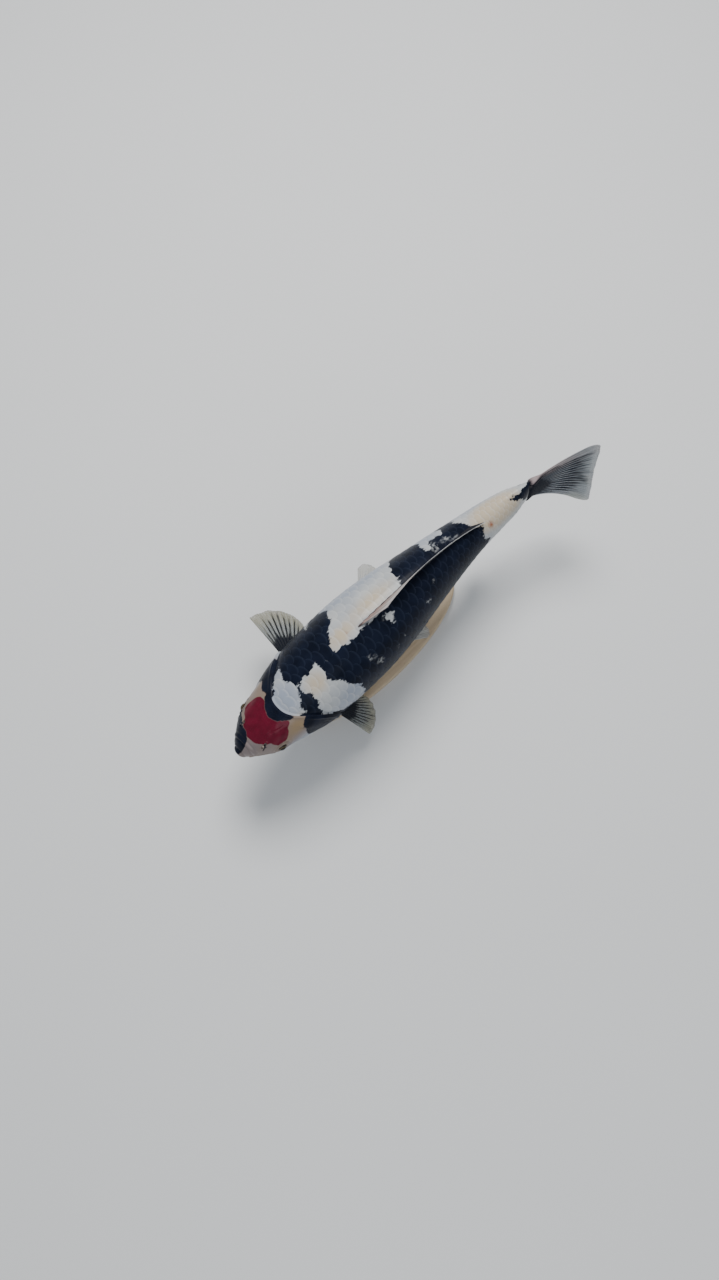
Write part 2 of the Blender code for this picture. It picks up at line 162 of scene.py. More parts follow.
# Each patch is an ellipse on the unwrapped skin, in millimetres: how far from the
# snout, how far round from the back's midline, its two half axes, and its turn in degrees.
WHITE_PATCHES = (
    # the saddle over the nape: its right half, that half's two arms, then its left half
    (84, -2, 17, 14, 0), (96, -4, 6, 5, 0), (82, 10, 13, 10, 0), (88, -17, 9, 9, 0),
    (92, -25, 12, 6, -42), (99, -34, 8, 2.6, -52), (83, 22, 11, 5, 42), (121, 8, 17, 11, 0),
    (133, -1, 4, 6, 35), (114, -1, 4, 4, 0), (124, 26, 15, 12, 20), (130, 38, 22, 12, 25),
    (118, 41, 13, 8, 0), (118, 56, 14, 12, 40), (126, 54, 19, 13, 38), (134, 74, 14, 10, 45),
    (140, 58, 25, 14, 28), (150, 78, 15, 14, 48), (156, 95, 7, 16, -10),
    # the large patch on the right of the back
    (172, -5, 11, 8, -15), (192, 1, 16, 6, 0), (232, -4, 42, 10, 0), (183, -14, 14, 12, -45),
    (200, -16, 26, 18, 0), (222, -10, 24, 11, 0), (215, -40, 27, 26, 0), (245, -36, 40, 36, 0),
    (258, -11, 22, 12, 0), (250, -74, 60, 30, 0), (283, -47, 16, 8, -52), (165, -74, 4, 15, 12),
    # the gap behind it
    (353, -52, 17, 26, -8), (341, -28, 7, 9, 10), (364, -30, 9, 9, 0), (339, -17, 5, 4, 30),
    # the root of the tail
    (446, -20, 48, 17, 8), (415, -10, 18, 13, 0), (407, -13, 10, 10, 0), (424, -24, 33, 15, 0),
    (455, -40, 64, 20, 0), (460, 22, 49, 26, 0), (488, 50, 34, 20, 0), (440, 60, 26, 30, 0),
    (462, 2, 52, 14, 0),
    # small spots on the left
    (239, 14.5, 6.5, 4.5, 0), (239, 21, 2.4, 6, 6),
)
FAINT_PATCHES = (
    (191, 40, 7, 3.2, 48), (198, 57, 6, 4, 30), (148, 3, 1.8, 2.6, 0), (229, 12, 3, 2, 0),
    (313, 23, 3, 3, 0), (293, 42, 4, 5, 0), (243, 56, 2.4, 2, 0), (228, 62, 2.6, 2, 0),
    (165, 46, 2.4, 6, 0), (345, -12, 5, 9, 25), (362, -10, 7, 6, 0), (373, -4, 5, 3, 0),
)
RED_PATCHES = (
    (44, 0, 22, 25, 0), (51, -22, 14.5, 14.5, 0), (50, 24, 12.5, 15, 10), (61, 20, 8, 5, 20),
)
# Black on the head, up to the gill covers' edge, and on the body behind them.
HEAD_BLACK_PATCHES = (
    # the chevron behind the crown
    (66, 0, 11, 13, 0), (72, -14, 16, 8, -42), (69, 14, 10, 5, 44), (84, -30, 12, 12, -30),
    # the gill covers
    (96, -58, 17, 26, 0), (90, -40, 11, 10, -35), (104, 60, 26, 30, 0), (113, 82, 17, 12, 55),
    (92, 45, 14, 12, 0),
    # the right of the snout, from the mouth to the eye
    (15, -30, 36, 17, -58), (13, -9.5, 15, 10.5, -38), (4, -40, 11, 10, 0),
    (4, -36, 30, 16, -58), (33, -45, 11, 8, -60),
    # painted shade: thin black at the edges of the left nostril's pits
    (28.5, 22, 3.2, 1.0, 62), (26, 24.5, 2.2, 0.8, -25),
)
BODY_BLACK_PATCHES = (
    # over the white: along the left gill cover, then at the root of the tail
    (113, 73, 20, 4.5, 54), (126, 100, 18, 13, 60), (488, 11, 19, 5, 20), (498, 14, 13, 12, 40),
    (510, 12, 12, 26, 0),
)
# The back's warm and the snout's rosy casts, the painted bluish shade on the white, most of it low
# on the right flank, and small orange spots.
WARM_PATCHES = (
    (121, 13, 13, 12, 0), (182, -8, 22, 10, 0), (235, -14, 34, 10, 0), (442, 4, 42, 24, 4),
    (468, 8, 16, 17, 0), (72, 36, 14, 12, 0),
)
SHADED_WHITE_PATCHES = (
    (84, -2, 18, 22, 0), (150, 72, 26, 26, 30), (100, -34, 14, 8, -52), (240, -80, 70, 38, 0),
    (356, -60, 26, 36, 0), (440, -52, 70, 26, 0),
)
ORANGE_SPOTS = ((427.5, 15, 4.6, 5.4, 0), (187, -6, 3.0, 2.2, 0))
# Where the belly turns white, as a share of the way round, at these distances.
BELLY_EDGE = ((0.0, 0.92), (0.03, 0.86), (0.1, 0.76), (0.2, 0.84), (0.34, 0.8), (0.507, 0.66))

# --- What a user would change ---


def colour_property(name, description, default):
    limits = {"size": 3, "min": 0.0, "max": 1.0, "subtype": "COLOR"}
    return FloatVectorProperty(name=name, description=description, default=default, **limits)


def number_property(name, description, default, **more):
    return FloatProperty(name=name, description=description, default=default, **more)


class KoiSkinSettings(bpy.types.PropertyGroup):
    white: colour_property("White", "The white of the back and flanks", (0.47, 0.48, 0.48))
    # painted bluish shade: a darker, cooler white, laid mostly low on the flanks
    shaded_white: colour_property("Cool white", "The white low on the flanks", (0.25, 0.29, 0.375))
    cream: colour_property("Cream", "The warm cast of the thicker skin", (0.5, 0.41, 0.29))
    cheek: colour_property("Cheek", "The bare skin of the cheeks and snout", (0.205, 0.17, 0.17))
    tan: colour_property("Tan", "The cheeks' yellower parts", (0.275, 0.2, 0.12))
    black: colour_property("Black", "The blue-black markings", (0.0045, 0.0065, 0.014))
    red: colour_property("Red", "The crown on the head", (0.125, 0.005, 0.021))
    orange: colour_property("Orange", "The small warm spots", (0.3, 0.11, 0.045))


class KoiScaleSettings(bpy.types.PropertyGroup):
    lift: number_property(
        "Lift", "How far a free edge stands off", 0.00115, min=0.0004, max=0.002, unit="LENGTH"
    )
    thickness: number_property("Thickness", "How thick a free edge is", 0.00028, unit="LENGTH")
    spread: number_property("Spread", "A scale's half width over the distance between rows", 0.7)
    seed: IntProperty(name="Seed", description="Varies the scales' irregularities", default=7)


class KoiFinSettings(bpy.types.PropertyGroup):
    opacity: number_property(
        "Opacity", "How opaque the thin skin is", 0.62, min=0.0, max=1.0, subtype="FACTOR"
    )


class KoiEyeSettings(bpy.types.PropertyGroup):
    iris: colour_property("Iris", "The ring round the pupil", (0.24, 0.175, 0.075))
    pupil_share: number_property("Pupil", "Its share of the eye's opening", 0.54, subtype="FACTOR")


class KoiStandSettings(bpy.types.PropertyGroup):
    wood: colour_property("Wood", "The base's pale maple", (0.56, 0.44, 0.3))
    steel: colour_property("Steel", "The rods' brushed steel", (0.58, 0.59, 0.6))
    floor: colour_property("Floor", "The studio floor", (0.72, 0.73, 0.74))
    camera_height: number_property(
        "Camera elevation", "Its angle over the horizon", math.radians(74.0), subtype="ANGLE"
    )


# --- Materials ---


def math_node(operation):
    """A method of Value that adds a Math node of this operation."""

    def add(value, *others):
        sockets = dict(enumerate((value, *others)))
        return value.paint.add("ShaderNodeMath", {"operation": operation}, sockets)

    return add


class Value:
    """A number or vector inside a material, so that sums on it are written as sums."""

    def __init__(self, paint, socket):
        self.paint = paint
        self.socket = socket

    __add__ = __radd__ = math_node("ADD")
    __sub__ = math_node("SUBTRACT")
    __mul__ = __rmul__ = math_node("MULTIPLY")
    __truediv__ = math_node("DIVIDE")
    __pow__ = math_node("POWER")
    larger = math_node("MAXIMUM")
    sine = math_node("SINE")
    size = math_node("ABSOLUTE")
    whole = math_node("ROUND")

    def __rsub__(self, other):
        return self * -1.0 + other

    def off_whole(self):
        return (self - self.whole()).size()

    def step(self, low, high, first=0.0, last=1.0):
        """Smoothly from the first value to the last as the number goes from low to high."""
        sockets = {0: self, 1: low, 2: high, 3: first, 4: last}
        return self.paint.add("ShaderNodeMapRange", {"interpolation_type": "SMOOTHSTEP"}, sockets)

    def fade(self, low, high):
        return self.step(low, high, 1.0, 0.0)


class Paint:
    """A material being mixed, over one shader whose even values sit on its own sockets."""

    def __init__(self, name, **even):
        self.material = bpy.data.materials.new(name)
        self.material.use_nodes = True
        self.tree = self.material.node_tree
        self.surface = self.tree.nodes["Principled BSDF"]
        self.show(**even)

    def add(self, kind, settings=None, sockets=None, output=0):
        """A node of this kind. Settings come first, then the values or links of its sockets."""
        node = self.tree.nodes.new(kind)
        for key, value in (settings or {}).items():
            setattr(node, key, value)
        for key, value in (sockets or {}).items():
            self.feed(node.inputs[key], value)
        return Value(self, node.outputs[output])

    def ramp(self, share, stops):
        """A number that goes through these stops, each a share and its value."""
        grey = self.add("ShaderNodeValToRGB", None, {0: share})
        elements = grey.socket.node.color_ramp.elements
        while len(elements) < len(stops):
            elements.new(0.5)
        for element, (place, level) in zip(elements, stops):
            element.position = place
            element.color = (level, level, level, 1.0)
        return grey * 1.0

    def feed(self, socket, value):
        if isinstance(value, Value):
            self.tree.links.new(value.socket, socket)
        elif socket.type == "RGBA" and len(value) == 3:
            socket.default_value = (*value, 1.0)
        else:
            socket.default_value = value

    def show(self, **sockets):
        """Feeds the shader's sockets."""
        for key, value in sockets.items():
            self.feed(self.surface.inputs[key.replace("_", " ")], value)
        return self.material

    def uv(self, name, scale=1.0):
        flat = self.add("ShaderNodeUVMap", {"uv_map": name})
        return flat if scale == 1.0 else self.scaled(flat, scale)

    def place(self):
        return self.add("ShaderNodeTexCoord", output=3)

    def split(self, vector):
        node = self.add("ShaderNodeSeparateXYZ", None, {0: vector}).socket.node
        return tuple(Value(self, output) for output in node.outputs)

    def vector(self, operation, *operands, output=0):
        sockets = dict(enumerate(operands))
        return self.add("ShaderNodeVectorMath", {"operation": operation}, sockets, output)

    def scaled(self, vector, by):
        return self.add("ShaderNodeVectorMath", {"operation": "SCALE"}, {0: vector, "Scale": by})

    def mapped(self, vector, scale, location=(0, 0, 0), turn=0.0):
        """The vector as seen from a shape of this size, place and turn."""
        sockets = {0: vector, 1: location, 2: (0.0, 0.0, turn), 3: scale}
        return self.add("ShaderNodeMapping", {"vector_type": "TEXTURE"}, sockets)

    def noise(self, vector, scale, detail=2.0, roughness=0.5):
        sockets = {"Vector": vector, "Scale": scale, "Detail": detail, "Roughness": roughness}
        return self.add("ShaderNodeTexNoise", None, sockets)

    def blend(self, share, first, second):
        """The first colour where the share is 0 and the second where it is 1."""
        settings = {"data_type": "RGBA"}
        return self.add("ShaderNodeMix", settings, {0: share, 6: first, 7: second}, output=2)

    def over(self, colour, *layers):
        """The colour under layers, each given as its share and its colour."""
        for share, layer in layers:
            colour = self.blend(share, colour, layer)
        return colour

    def bump(self, height, distance, strength):
        sockets = {"Height": height, "Distance": distance, "Strength": strength}
        return self.add("ShaderNodeBump", None, sockets)


def shade(colour, by):
    return tuple(by * part for part in colour)


def koi_colours(paint, where, settings):
    """The fish's colours at this unwrapped place, in millimetres, and the share of white."""
    maps = (paint.split(paint.uv(name, 1000.0)) for name in ("Edge", "Dark", "Spots", "Casts"))
    (behind, white, _), (head_black, red, _), (faint, orange, _), (warm, painted_shade, _) = maps
    side = paint.split(where)[1].size()
    grain = paint.noise(where, 0.75, 2.0, 0.6) - 0.5
    ragged = paint.noise(where, 0.26, 2.0, 0.6) - 0.5
    teeth = paint.noise(paint.mapped(where, (5.2, 2.1, 1.0)), 1.0, 1.0) - 0.5
    edge = grain * 1.6 + ragged * 4.0 + teeth * 4.6

    head_share = behind.fade(-0.25, 0.25)
    white_share = (white + edge).fade(-0.7, 0.7)
    speckle = paint.noise(where, 0.24, 3.0, 0.6).step(0.38, 0.66)
    white_share = white_share.larger((faint + edge * 0.7).step(-2.4, 1.2, 0.62, 0.0) * speckle)
    frayed = edge * (0.36 + side.step(36.0, 44.0, 0.0, 0.34))
    bare_share = (head_black + frayed).step(-0.7, 0.7)
    light_share = white_share + (bare_share - white_share) * head_share
    red_share = (red + edge * 0.16).fade(-0.6, 0.6) * bare_share * head_share

    cloud = paint.noise(where, 0.02, 3.0, 0.55).step(0.36, 0.64)
    warm = warm.fade(-9.0, 7.0)
    painted_shade = painted_shade.fade(-14.0, 14.0)
    # the white under random clouds of the shaded white, painted bluish shade in its patches, the
    # warm cream casts and the orange spots
    body = paint.over(
        settings.white,
        (cloud * 0.35, settings.shaded_white),
        (painted_shade * 0.75, settings.shaded_white),
        (warm * 0.9, settings.cream),
        (orange.fade(-3.0, 1.6), settings.orange),
    )
    # painted bluish shade: the cheeks turn to a half shaded white low on the head's sides
    lower = paint.blend(0.55, settings.white, settings.shaded_white)
    cheek = paint.over(settings.cheek, (cloud * 0.5, settings.tan), (warm, settings.tan))
    cheek = paint.blend(side.step(46.0, 80.0), cheek, lower)
    depth = paint.noise(where, 0.05).step(0.3, 0.7)
    ink = paint.blend(depth * 0.6, settings.black, shade(settings.black, 2.2))
    crown = paint.noise(where, 0.09).step(0.35, 0.7) * 0.6
    crown = paint.blend(crown, settings.red, shade(settings.red, 0.62))
    light = paint.blend(head_share, body, cheek)
    return paint.over(ink, (light_share, light), (red_share, crown)), light_share


def skin_material(settings):
    """Wet bare skin, with the markings and fine pores."""
    paint = Paint("koi_skin", Coat_Roughness=0.14, Specular_IOR_Level=0.03)
    where = paint.uv("Body", 1000.0)
    colour, light = koi_colours(paint, where, settings)
    mottle = paint.noise(where, 0.7, 3.0, 0.65)
    colour = paint.blend(mottle.step(0.45, 0.8) * 0.1, colour, (0.1, 0.09, 0.1))
    pores = paint.add("ShaderNodeTexVoronoi", {"feature": "F1"}, {"Vector": where, "Scale": 0.42})
    uneven = paint.noise(where, 1.1, 2.0, 0.6) * 0.5 + paint.noise(where, 0.18)
    return paint.show(
        Base_Color=colour,
        Roughness=0.26 + mottle * 0.16,
        Coat_Weight=0.07 + light * 0.18,
        Normal=paint.bump(uneven + pores.step(0.04, 0.16) * 0.35, 0.00018, 0.55),
    )


def scale_material(settings):
    """Scales: markings that half follow each scale's edge, growth rings, painted shade at each root
    and a painted sheen along the margin.
    """
    paint = Paint("koi_scales", Coat_Roughness=0.12, Specular_IOR_Level=0.03)
    body, root = (paint.uv(name, 1000.0) for name in ("Body", "Root"))
    sockets = {0: ROOT_SHARE, 4: body, 5: root}
    where = paint.add("ShaderNodeMix", {"data_type": "VECTOR"}, sockets, output=1)
    colour, light = koi_colours(paint, where, settings)
    dark = 1.0 - light
    back, across, _ = paint.split(paint.uv("Scale"))
    # the lateral line's scales have LATERAL_MARK added to how far across they are
    lateral = across.step(LATERAL_MARK - 0.6, LATERAL_MARK - 0.4)
    across = (across - lateral * LATERAL_MARK - 0.5) * 2.0
    tube = lateral * across.size().fade(0.03, 0.08)
    tube = tube * back.step(0.68, 0.72) * back.fade(0.84, 0.9)
    margin_sheen = back.step(0.9, 0.985)
    tone = paint.noise(paint.scaled(root, 0.9), 1.0, 0.0)
    colour = paint.over(
        colour,
        # painted shade: each white scale darker towards its root, under the free edge of the scale
        # in front
        ((1.0 - back.step(0.42, 0.8)) * 0.45 * light, (0.18, 0.19, 0.21)),
        # painted sheen: a paler margin on the white scales
        (margin_sheen * light * 0.3, (0.6, 0.61, 0.6)),
        (tube * (0.25 + light * 0.4), (0.075, 0.07, 0.075)),
        # painted sheen: a bluish margin on the black scales
        (margin_sheen * dark * 0.22, (0.035, 0.045, 0.075)),
        ((tone - 0.35) * 0.3 * light, (0.3, 0.32, 0.34)),
    )
    reach = ((1.0 - back) ** 2.0 + across * across * 0.35) ** 0.5
    rings = (reach * 95.0).sine() * 0.125
    fan = (across / (1.25 - back * 0.55) * 34.0).sine() * back.step(0.5, 0.8) * 0.35
    grain = paint.noise(body, 1.6, 2.0, 0.6)
    return paint.show(
        Base_Color=colour,
        Roughness=0.24 + grain * 0.14 + dark * 0.02,
        Coat_Weight=0.045 + light * 0.16,
        Normal=paint.bump(rings + fan + grain * 0.8 + tube * 1.5, 0.0001, 0.5),
    )


# --- Places on the body ---

MIDLINE_AT = np.linspace(0.0, 0.64, 641)


def smooth(value, low, high):
    """0 below low, 1 above high and an even S between them."""
    share = np.clip((value - low) / (high - low), 0.0, 1.0)
    return share * share * (3.0 - 2.0 * share)


def fading(value, low, high):
    return 1.0 - smooth(value, low, high)


def bell(distance, width):
    return np.exp(-((distance / width) ** 2))


def ridges(distance, *shapes):
    """Ridges and grooves side by side, each given as its height, its place and its width."""
    return sum(height * bell(distance - place, width) for height, place, width in shapes)


def unit(vectors):
    return vectors / np.linalg.norm(vectors, axis=-1, keepdims=True)


def heading(along):
    bend = np.clip((along - BEND_START) / (BEND_END - BEND_START), 0.0, 1.3)
    return HEAD_TURN + TAIL_TURN * bend**BEND_POWER


def running_sum(rates):
    step = MIDLINE_AT[1] - MIDLINE_AT[0]
    return np.concatenate(([0.0], np.cumsum((rates[1:] + rates[:-1]) / 2) * step))


MIDLINE_X = running_sum(np.sin(heading(MIDLINE_AT)))
MIDLINE_Y = running_sum(np.cos(heading(MIDLINE_AT)))


def world(along, left, up):
    """The points at these places on the fish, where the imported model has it."""
    along, left, up = np.broadcast_arrays(*(np.asarray(v, float) for v in (along, left, up)))
    turn = heading(along)
    roll = np.interp(along, ROLL_ENDS, (ROLL, 0.0))
    across = left * np.cos(roll) + up * np.sin(roll)
    rise = up * np.cos(roll) - left * np.sin(roll)
    x = np.interp(along, MIDLINE_AT, MIDLINE_X) + across * np.cos(turn)
    y = np.interp(along, MIDLINE_AT, MIDLINE_Y) - across * np.sin(turn)
    return np.stack((x, y, AXIS_HEIGHT + rise), -1) + SHIFT


def on_curve(table, places, at):
    """The table's row at a place, on smooth curves through the rows at these places."""
    after = np.clip(np.searchsorted(places, at), 1, len(places) - 1)
    span = (places[after] - places[after - 1])[..., None]
    t = np.clip((at - places[after - 1])[..., None] / span, 0.0, 1.0)
    slopes = np.gradient(table, places, axis=0)
    return (
        (2 * t**3 - 3 * t**2 + 1) * table[after - 1]
        + (t**3 - 2 * t**2 + t) * slopes[after - 1] * span
        + (3 * t**2 - 2 * t**3) * table[after]
        + (t**3 - t**2) * slopes[after] * span
    )


def section_point(shape, angle, top):
    """Left and up, on a section of this half width, back and belly."""
    half_width, back, belly = shape[..., 0], shape[..., 1], shape[..., 2]
    middle = belly + WIDEST_LEVEL * (back - belly)
    over = np.cos(angle) >= 0
    sine = np.sin(angle)
    left = half_width * np.sign(sine) * np.abs(sine) ** np.where(over, top, BELLY_FULLNESS)
    return left, middle + np.cos(angle) * np.where(over, back - middle, middle - belly)


def skin(along, angle, out=0.0):
    """The points on the skin, or this far outside it."""
    along, angle = np.broadcast_arrays(np.asarray(along, float), np.asarray(angle, float))
    shape = on_curve(STATIONS[:, 1:], STATIONS[:, 0], along)
    # the head is flat on top, and the back rises to a low ridge
    top = HEAD_TOP_FULLNESS + (BACK_FULLNESS - HEAD_TOP_FULLNESS) * smooth(along, 0.055, 0.145)
    points = world(along, *section_point(shape, angle, top))
    if np.any(out):
        points = points + skin_normal(along, angle) * np.asarray(out, float)[..., None]
    return points


def skin_normal(along, angle):
    """The skin's outward directions."""
    lengthwise = skin(along + 0.001, angle) - skin(along - 0.001, angle)
    round_it = skin(along, angle + 0.02) - skin(along, angle - 0.02)
    return unit(np.cross(round_it, lengthwise))


def spot(along, angle, out=0.0):
    """One point outside the skin, and the outward direction there."""
    place = np.array([along]), np.array([angle])
    return skin(*place, np.array([out]))[0], skin_normal(*place)[0]


# The fish is laid out with its snout over the origin, then moved to where its eyes are.
SHIFT = np.zeros(3)
EYE_CORNERS = np.array([corner for name in ("eye_left", "eye_right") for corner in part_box(name)])
EYES = [spot(EYE_ALONG, side * EYE_ANGLE, EYE_STANDS_OUT - EYE_RADIUS)[0] for side in SIDES]
SHIFT = EYE_CORNERS.mean(axis=0) - np.mean(EYES, axis=0)


def trunk_front(angle):
    """Where the head meets the trunk: far forward on the nape, less so on the throat."""
    rise = np.cos(angle)
    return GILL_EDGE - (GILL_EDGE - np.where(rise > 0, NAPE, THROAT)) * np.abs(rise) ** 1.5


# The distance round each of many sections, at even angles from the back's midline.
GIRTH_AT = np.linspace(0.0, BODY_LENGTH, 170)
GIRTH_ANGLES = np.linspace(0.0, math.pi, 181)
RINGS = skin(GIRTH_AT[:, None], GIRTH_ANGLES[None, :])
GIRTH = np.cumsum(np.linalg.norm(np.diff(RINGS, axis=1, prepend=RINGS[:, :1]), axis=2), axis=1)
SHARES = np.linspace(0.0, 1.0, 201)
ANGLE_OF_SHARE = np.stack([np.interp(SHARES, row / row[-1], GIRTH_ANGLES) for row in GIRTH])


def half_girth(along):
    return np.interp(along, GIRTH_AT, GIRTH[:, -1])


def look_up(table, along, share):
    """A value between a table's four nearest entries, at a distance and a share of its width."""
    row = np.clip(np.asarray(along, float) / BODY_LENGTH, 0.0, 0.99999) * (len(GIRTH_AT) - 1)
    column = np.clip(share, 0.0, 0.99999) * (table.shape[1] - 1)
    low, inside = row.astype(int), column.astype(int)
    down, right = row - low, column - inside
    lines = (low, low + 1)
    near, far = (table[i, inside] * (1 - right) + table[i, inside + 1] * right for i in lines)
    return near * (1 - down) + far * down


def girth_at(along, angle):
    """Signed distance round the body from the back's midline."""
    return np.sign(angle) * look_up(GIRTH, along, np.abs(angle) / math.pi)


def angle_at(along, girth):
    """The angle that lies this far round the body. It goes on past the belly's midline."""
    share = np.abs(girth) / half_girth(along)
    over = share > 1.0
    angle = look_up(ANGLE_OF_SHARE, along, np.where(over, 2.0 - share, share))
    return np.sign(girth) * np.where(over, 2.0 * math.pi - angle, angle)


# --- Markings ---


def outside(patches, along, girth):
    """Distance outside these ellipses, in metres, minus within; they melt into each other."""
    total = 0.0
    for middle, height, long_half, short_half, turn in patches:
        x, y = 1000.0 * along - middle, 1000.0 * girth - height
        cos, sin = math.cos(math.radians(turn)), math.sin(math.radians(turn))
        far = np.hypot((x * cos + y * sin) / long_half, (y * cos - x * sin) / short_half)
        total = total + np.exp(-np.clip((far - 1.0) * min(long_half, short_half), -40.0, 60.0))
    return -0.001 * np.log(total + 1e-30)


def wandered(along, girth, by):
    """The place moved a little by slow waves, so that no marking keeps a drawn edge."""
    x, y = along * 1000.0, girth * 1000.0
    shift = np.sin(0.31 * x + 0.12 * y + 1.0) + 0.8 * np.sin(0.53 * y - 0.22 * x + 2.0)
    sway = np.sin(0.27 * y + 0.17 * x + 4.0) + 0.8 * np.sin(0.49 * x - 0.29 * y + 0.5)
    return along + by * shift, girth + by * sway


def markings(along, girth, angle):
    """UV maps of how far each place is behind the gill covers' edge and outside each marking."""
    place = along, girth
    head, back = wandered(*place, 0.0003), wandered(*place, 0.0007)
    white = np.maximum(outside(WHITE_PATCHES, *back), -outside(BODY_BLACK_PATCHES, *back))
    limit = np.interp(along, *np.array(BELLY_EDGE).T) * half_girth(np.maximum(along, 0.006))
    belly = limit - np.abs(girth)
    black = np.maximum(outside(HEAD_BLACK_PATCHES, *head), -belly)
    return {
        "Edge": (along - trunk_front(angle), np.minimum(white, belly)),
        "Dark": (black, outside(RED_PATCHES, *head)),
        "Spots": (outside(FAINT_PATCHES, *back), outside(ORANGE_SPOTS, *place)),
        "Casts": (outside(WARM_PATCHES, *place), outside(SHADED_WHITE_PATCHES, *place)),
    }


# --- Mesh tools ---


def hand(side):
    return "left" if side > 0 else "right"


def box_middle(node):
    low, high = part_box(node)
    return (Vector(low) + Vector(high)) / 2


def placed(name, data):
    """An object of this mesh, lamp or camera, in the scene."""
    item = bpy.data.objects.new(name, data)
    bpy.context.scene.collection.objects.link(item)
    return item


def mesh_of(name, bm, material):
    mesh = bpy.data.meshes.new(name)
    bm.to_mesh(mesh)
    bm.free()
    mesh.materials.append(material)
    return mesh


def finished(name, bm, material, nodes=(), sharp=None):
    """Makes a piece of the bmesh, on the fish's one body. Edges past an angle stay sharp."""
    bmesh.ops.recalc_face_normals(bm, faces=bm.faces)
    if bm.calc_volume(signed=True) < 0.0:
        bmesh.ops.reverse_faces(bm, faces=bm.faces)
    mesh = mesh_of(name, bm, material)
    mesh.shade_smooth()
    if sharp:
        mesh.set_sharp_from_angle(angle=math.radians(sharp))
    piece = placed(name, mesh)
    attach(piece, "root")
    if nodes:
        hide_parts(*nodes)
    return piece


def fill_holes(bm):
    bmesh.ops.holes_fill(bm, edges=[edge for edge in bm.edges if edge.is_boundary], sides=0)


def surface(columns, rows, place_of, maps_of=None, merge=1e-7):
    """A grid laid out by place_of(across, along), both from 0 to 1, with its doubles merged.

    maps_of(across, along) gives its UV maps by name.
    """
    bm = bmesh.new()
    bmesh.ops.create_grid(bm, x_segments=columns, y_segments=rows, size=0.5)
    flat = np.array([vert.co[:2] for vert in bm.verts]) + 0.5
    across = np.round(flat[:, 0] * columns) / columns
    along = np.round(flat[:, 1] * rows) / rows
    maps = maps_of(across, along) if maps_of else {"OFBake": (across, along)}
    for name, pair in maps.items():
        layer = bm.loops.layers.uv.new(name)
        values = np.stack(np.broadcast_arrays(*pair), -1).tolist()
        bm.verts.index_update()
        for face in bm.faces:
            for loop in face.loops:
                loop[layer].uv = values[loop.vert.index]
    for vert, point in zip(bm.verts, place_of(across, along).tolist()):
        vert.co = point
    bmesh.ops.remove_doubles(bm, verts=bm.verts, dist=merge)
    bmesh.ops.dissolve_degenerate(bm, edges=bm.edges, dist=merge)
    return bm


def wrapped(across):
    """On a grid that goes round a thin piece: the share across it, and which face, -1 to 1."""
    turn = across * 2.0
    front = turn <= 1.0
    return np.where(front, turn, 2.0 - turn), np.where(front, 1.0, -1.0)


# --- The skin ---

SKIN_SIDES = 300
# Rows of the skin's mesh: lips, head, to the gills' edge, the step there, trunk and tail end.
SKIN_ROWS = (28, 92, 92, 10, 92, 8)
LIPS_END = 0.006
COAT_END = (0.49, 0.499)
LIP_MAP = 0.02  # the width that the lips take on the map for baking
MAP_SIZE = 0.54  # and the width of the whole map
EYE_GIRTH = float(girth_at(EYE_ALONG, EYE_ANGLE))
NOSTRIL_GIRTH = 0.0205


def eye_relief(along, girth):
    """The rims and folds round the eye, and the hollow that the eyeball fills."""
    far = np.hypot(along - EYE_ALONG, np.abs(girth) - EYE_GIRTH)
    folds = ridges(
        far, (0.0012, 0.0074, 0.0013), (-0.0008, 0.0104, 0.001), (0.0008, 0.0128, 0.002)
    )
    return folds - 0.0044 * fading(far, 0.003, 0.0064)


def nostril_relief(along, girth):
    """The two pits of each nostril and their rims."""
    side = np.abs(girth) - NOSTRIL_GIRTH
    front = np.hypot(along - 0.0258, side)
    rear = np.hypot((along - 0.0303) / 1.25, side)
    pits = -0.0019 * fading(front, 0.0007, 0.0016) - 0.0022 * fading(rear, 0.001, 0.0022)
    return pits + ridges(front, (0.0005, 0.002, 0.0006)) + ridges(rear, (0.0004, 0.0029, 0.0007))


def mouth_relief(along, angle, girth):
    """Folds behind the lips, and the furrow from the mouth's corner along the cheek."""
    top = smooth(np.cos(angle), -0.15, 0.35)
    low = smooth(-np.cos(angle), 0.1, 0.6)
    folds = ridges(
        along, (-0.001, 0.0118, 0.0009), (-0.0006, 0.0172, 0.0011), (0.0006, 0.0145, 0.0016)
    )
    chin = ridges(along, (-0.0009, 0.0128, 0.0011))
    cheek = -0.001 * bell(along * 0.72 + 0.019 - np.abs(girth), 0.0012)
    cheek = cheek * smooth(along, 0.006, 0.011) * fading(along, 0.024, 0.034)
    return folds * top + chin * low + cheek


def cheek_relief(along, angle, girth):
    """The bones of the cheek and gill cover, up to the cover's raised rear edge."""
    low = np.abs(girth) - EYE_GIRTH
    behind = trunk_front(angle) - along
    # the ledge of the cheek plate, a curve under and behind the eye
    plate = np.hypot(along - 0.059, (low - 0.008) / 1.15)
    ledge = 0.0011 * smooth(plate, 0.0205, 0.0236) + ridges(plate, (-0.0007, 0.0208, 0.0012))
    ledge = ledge * smooth(along - 0.059 + (low - 0.008) * 0.6, -0.004, 0.008)
    # the bones under the eye
    bones = ridges(np.hypot(along - EYE_ALONG, low), (-0.0006, 0.0172, 0.001))
    bones = bones * smooth(low, -0.002, 0.01)
    # the gill cover's own bulge, its raised rear edge and the seam of its lower plate
    cover = ridges(
        behind, (0.0012, 0.02, 0.014), (0.0009, 0.0042, 0.0022), (-0.0011, 0.0023, 0.0006)
    )
    seam = ridges(behind - 0.1 * low, (-0.0007, 0.0125, 0.0008)) * smooth(low, 0.012, 0.024)
    flank = flank_share(girth) * fading(-np.cos(angle), 0.8, 0.97)
    return (ledge + bones + cover + seam) * flank


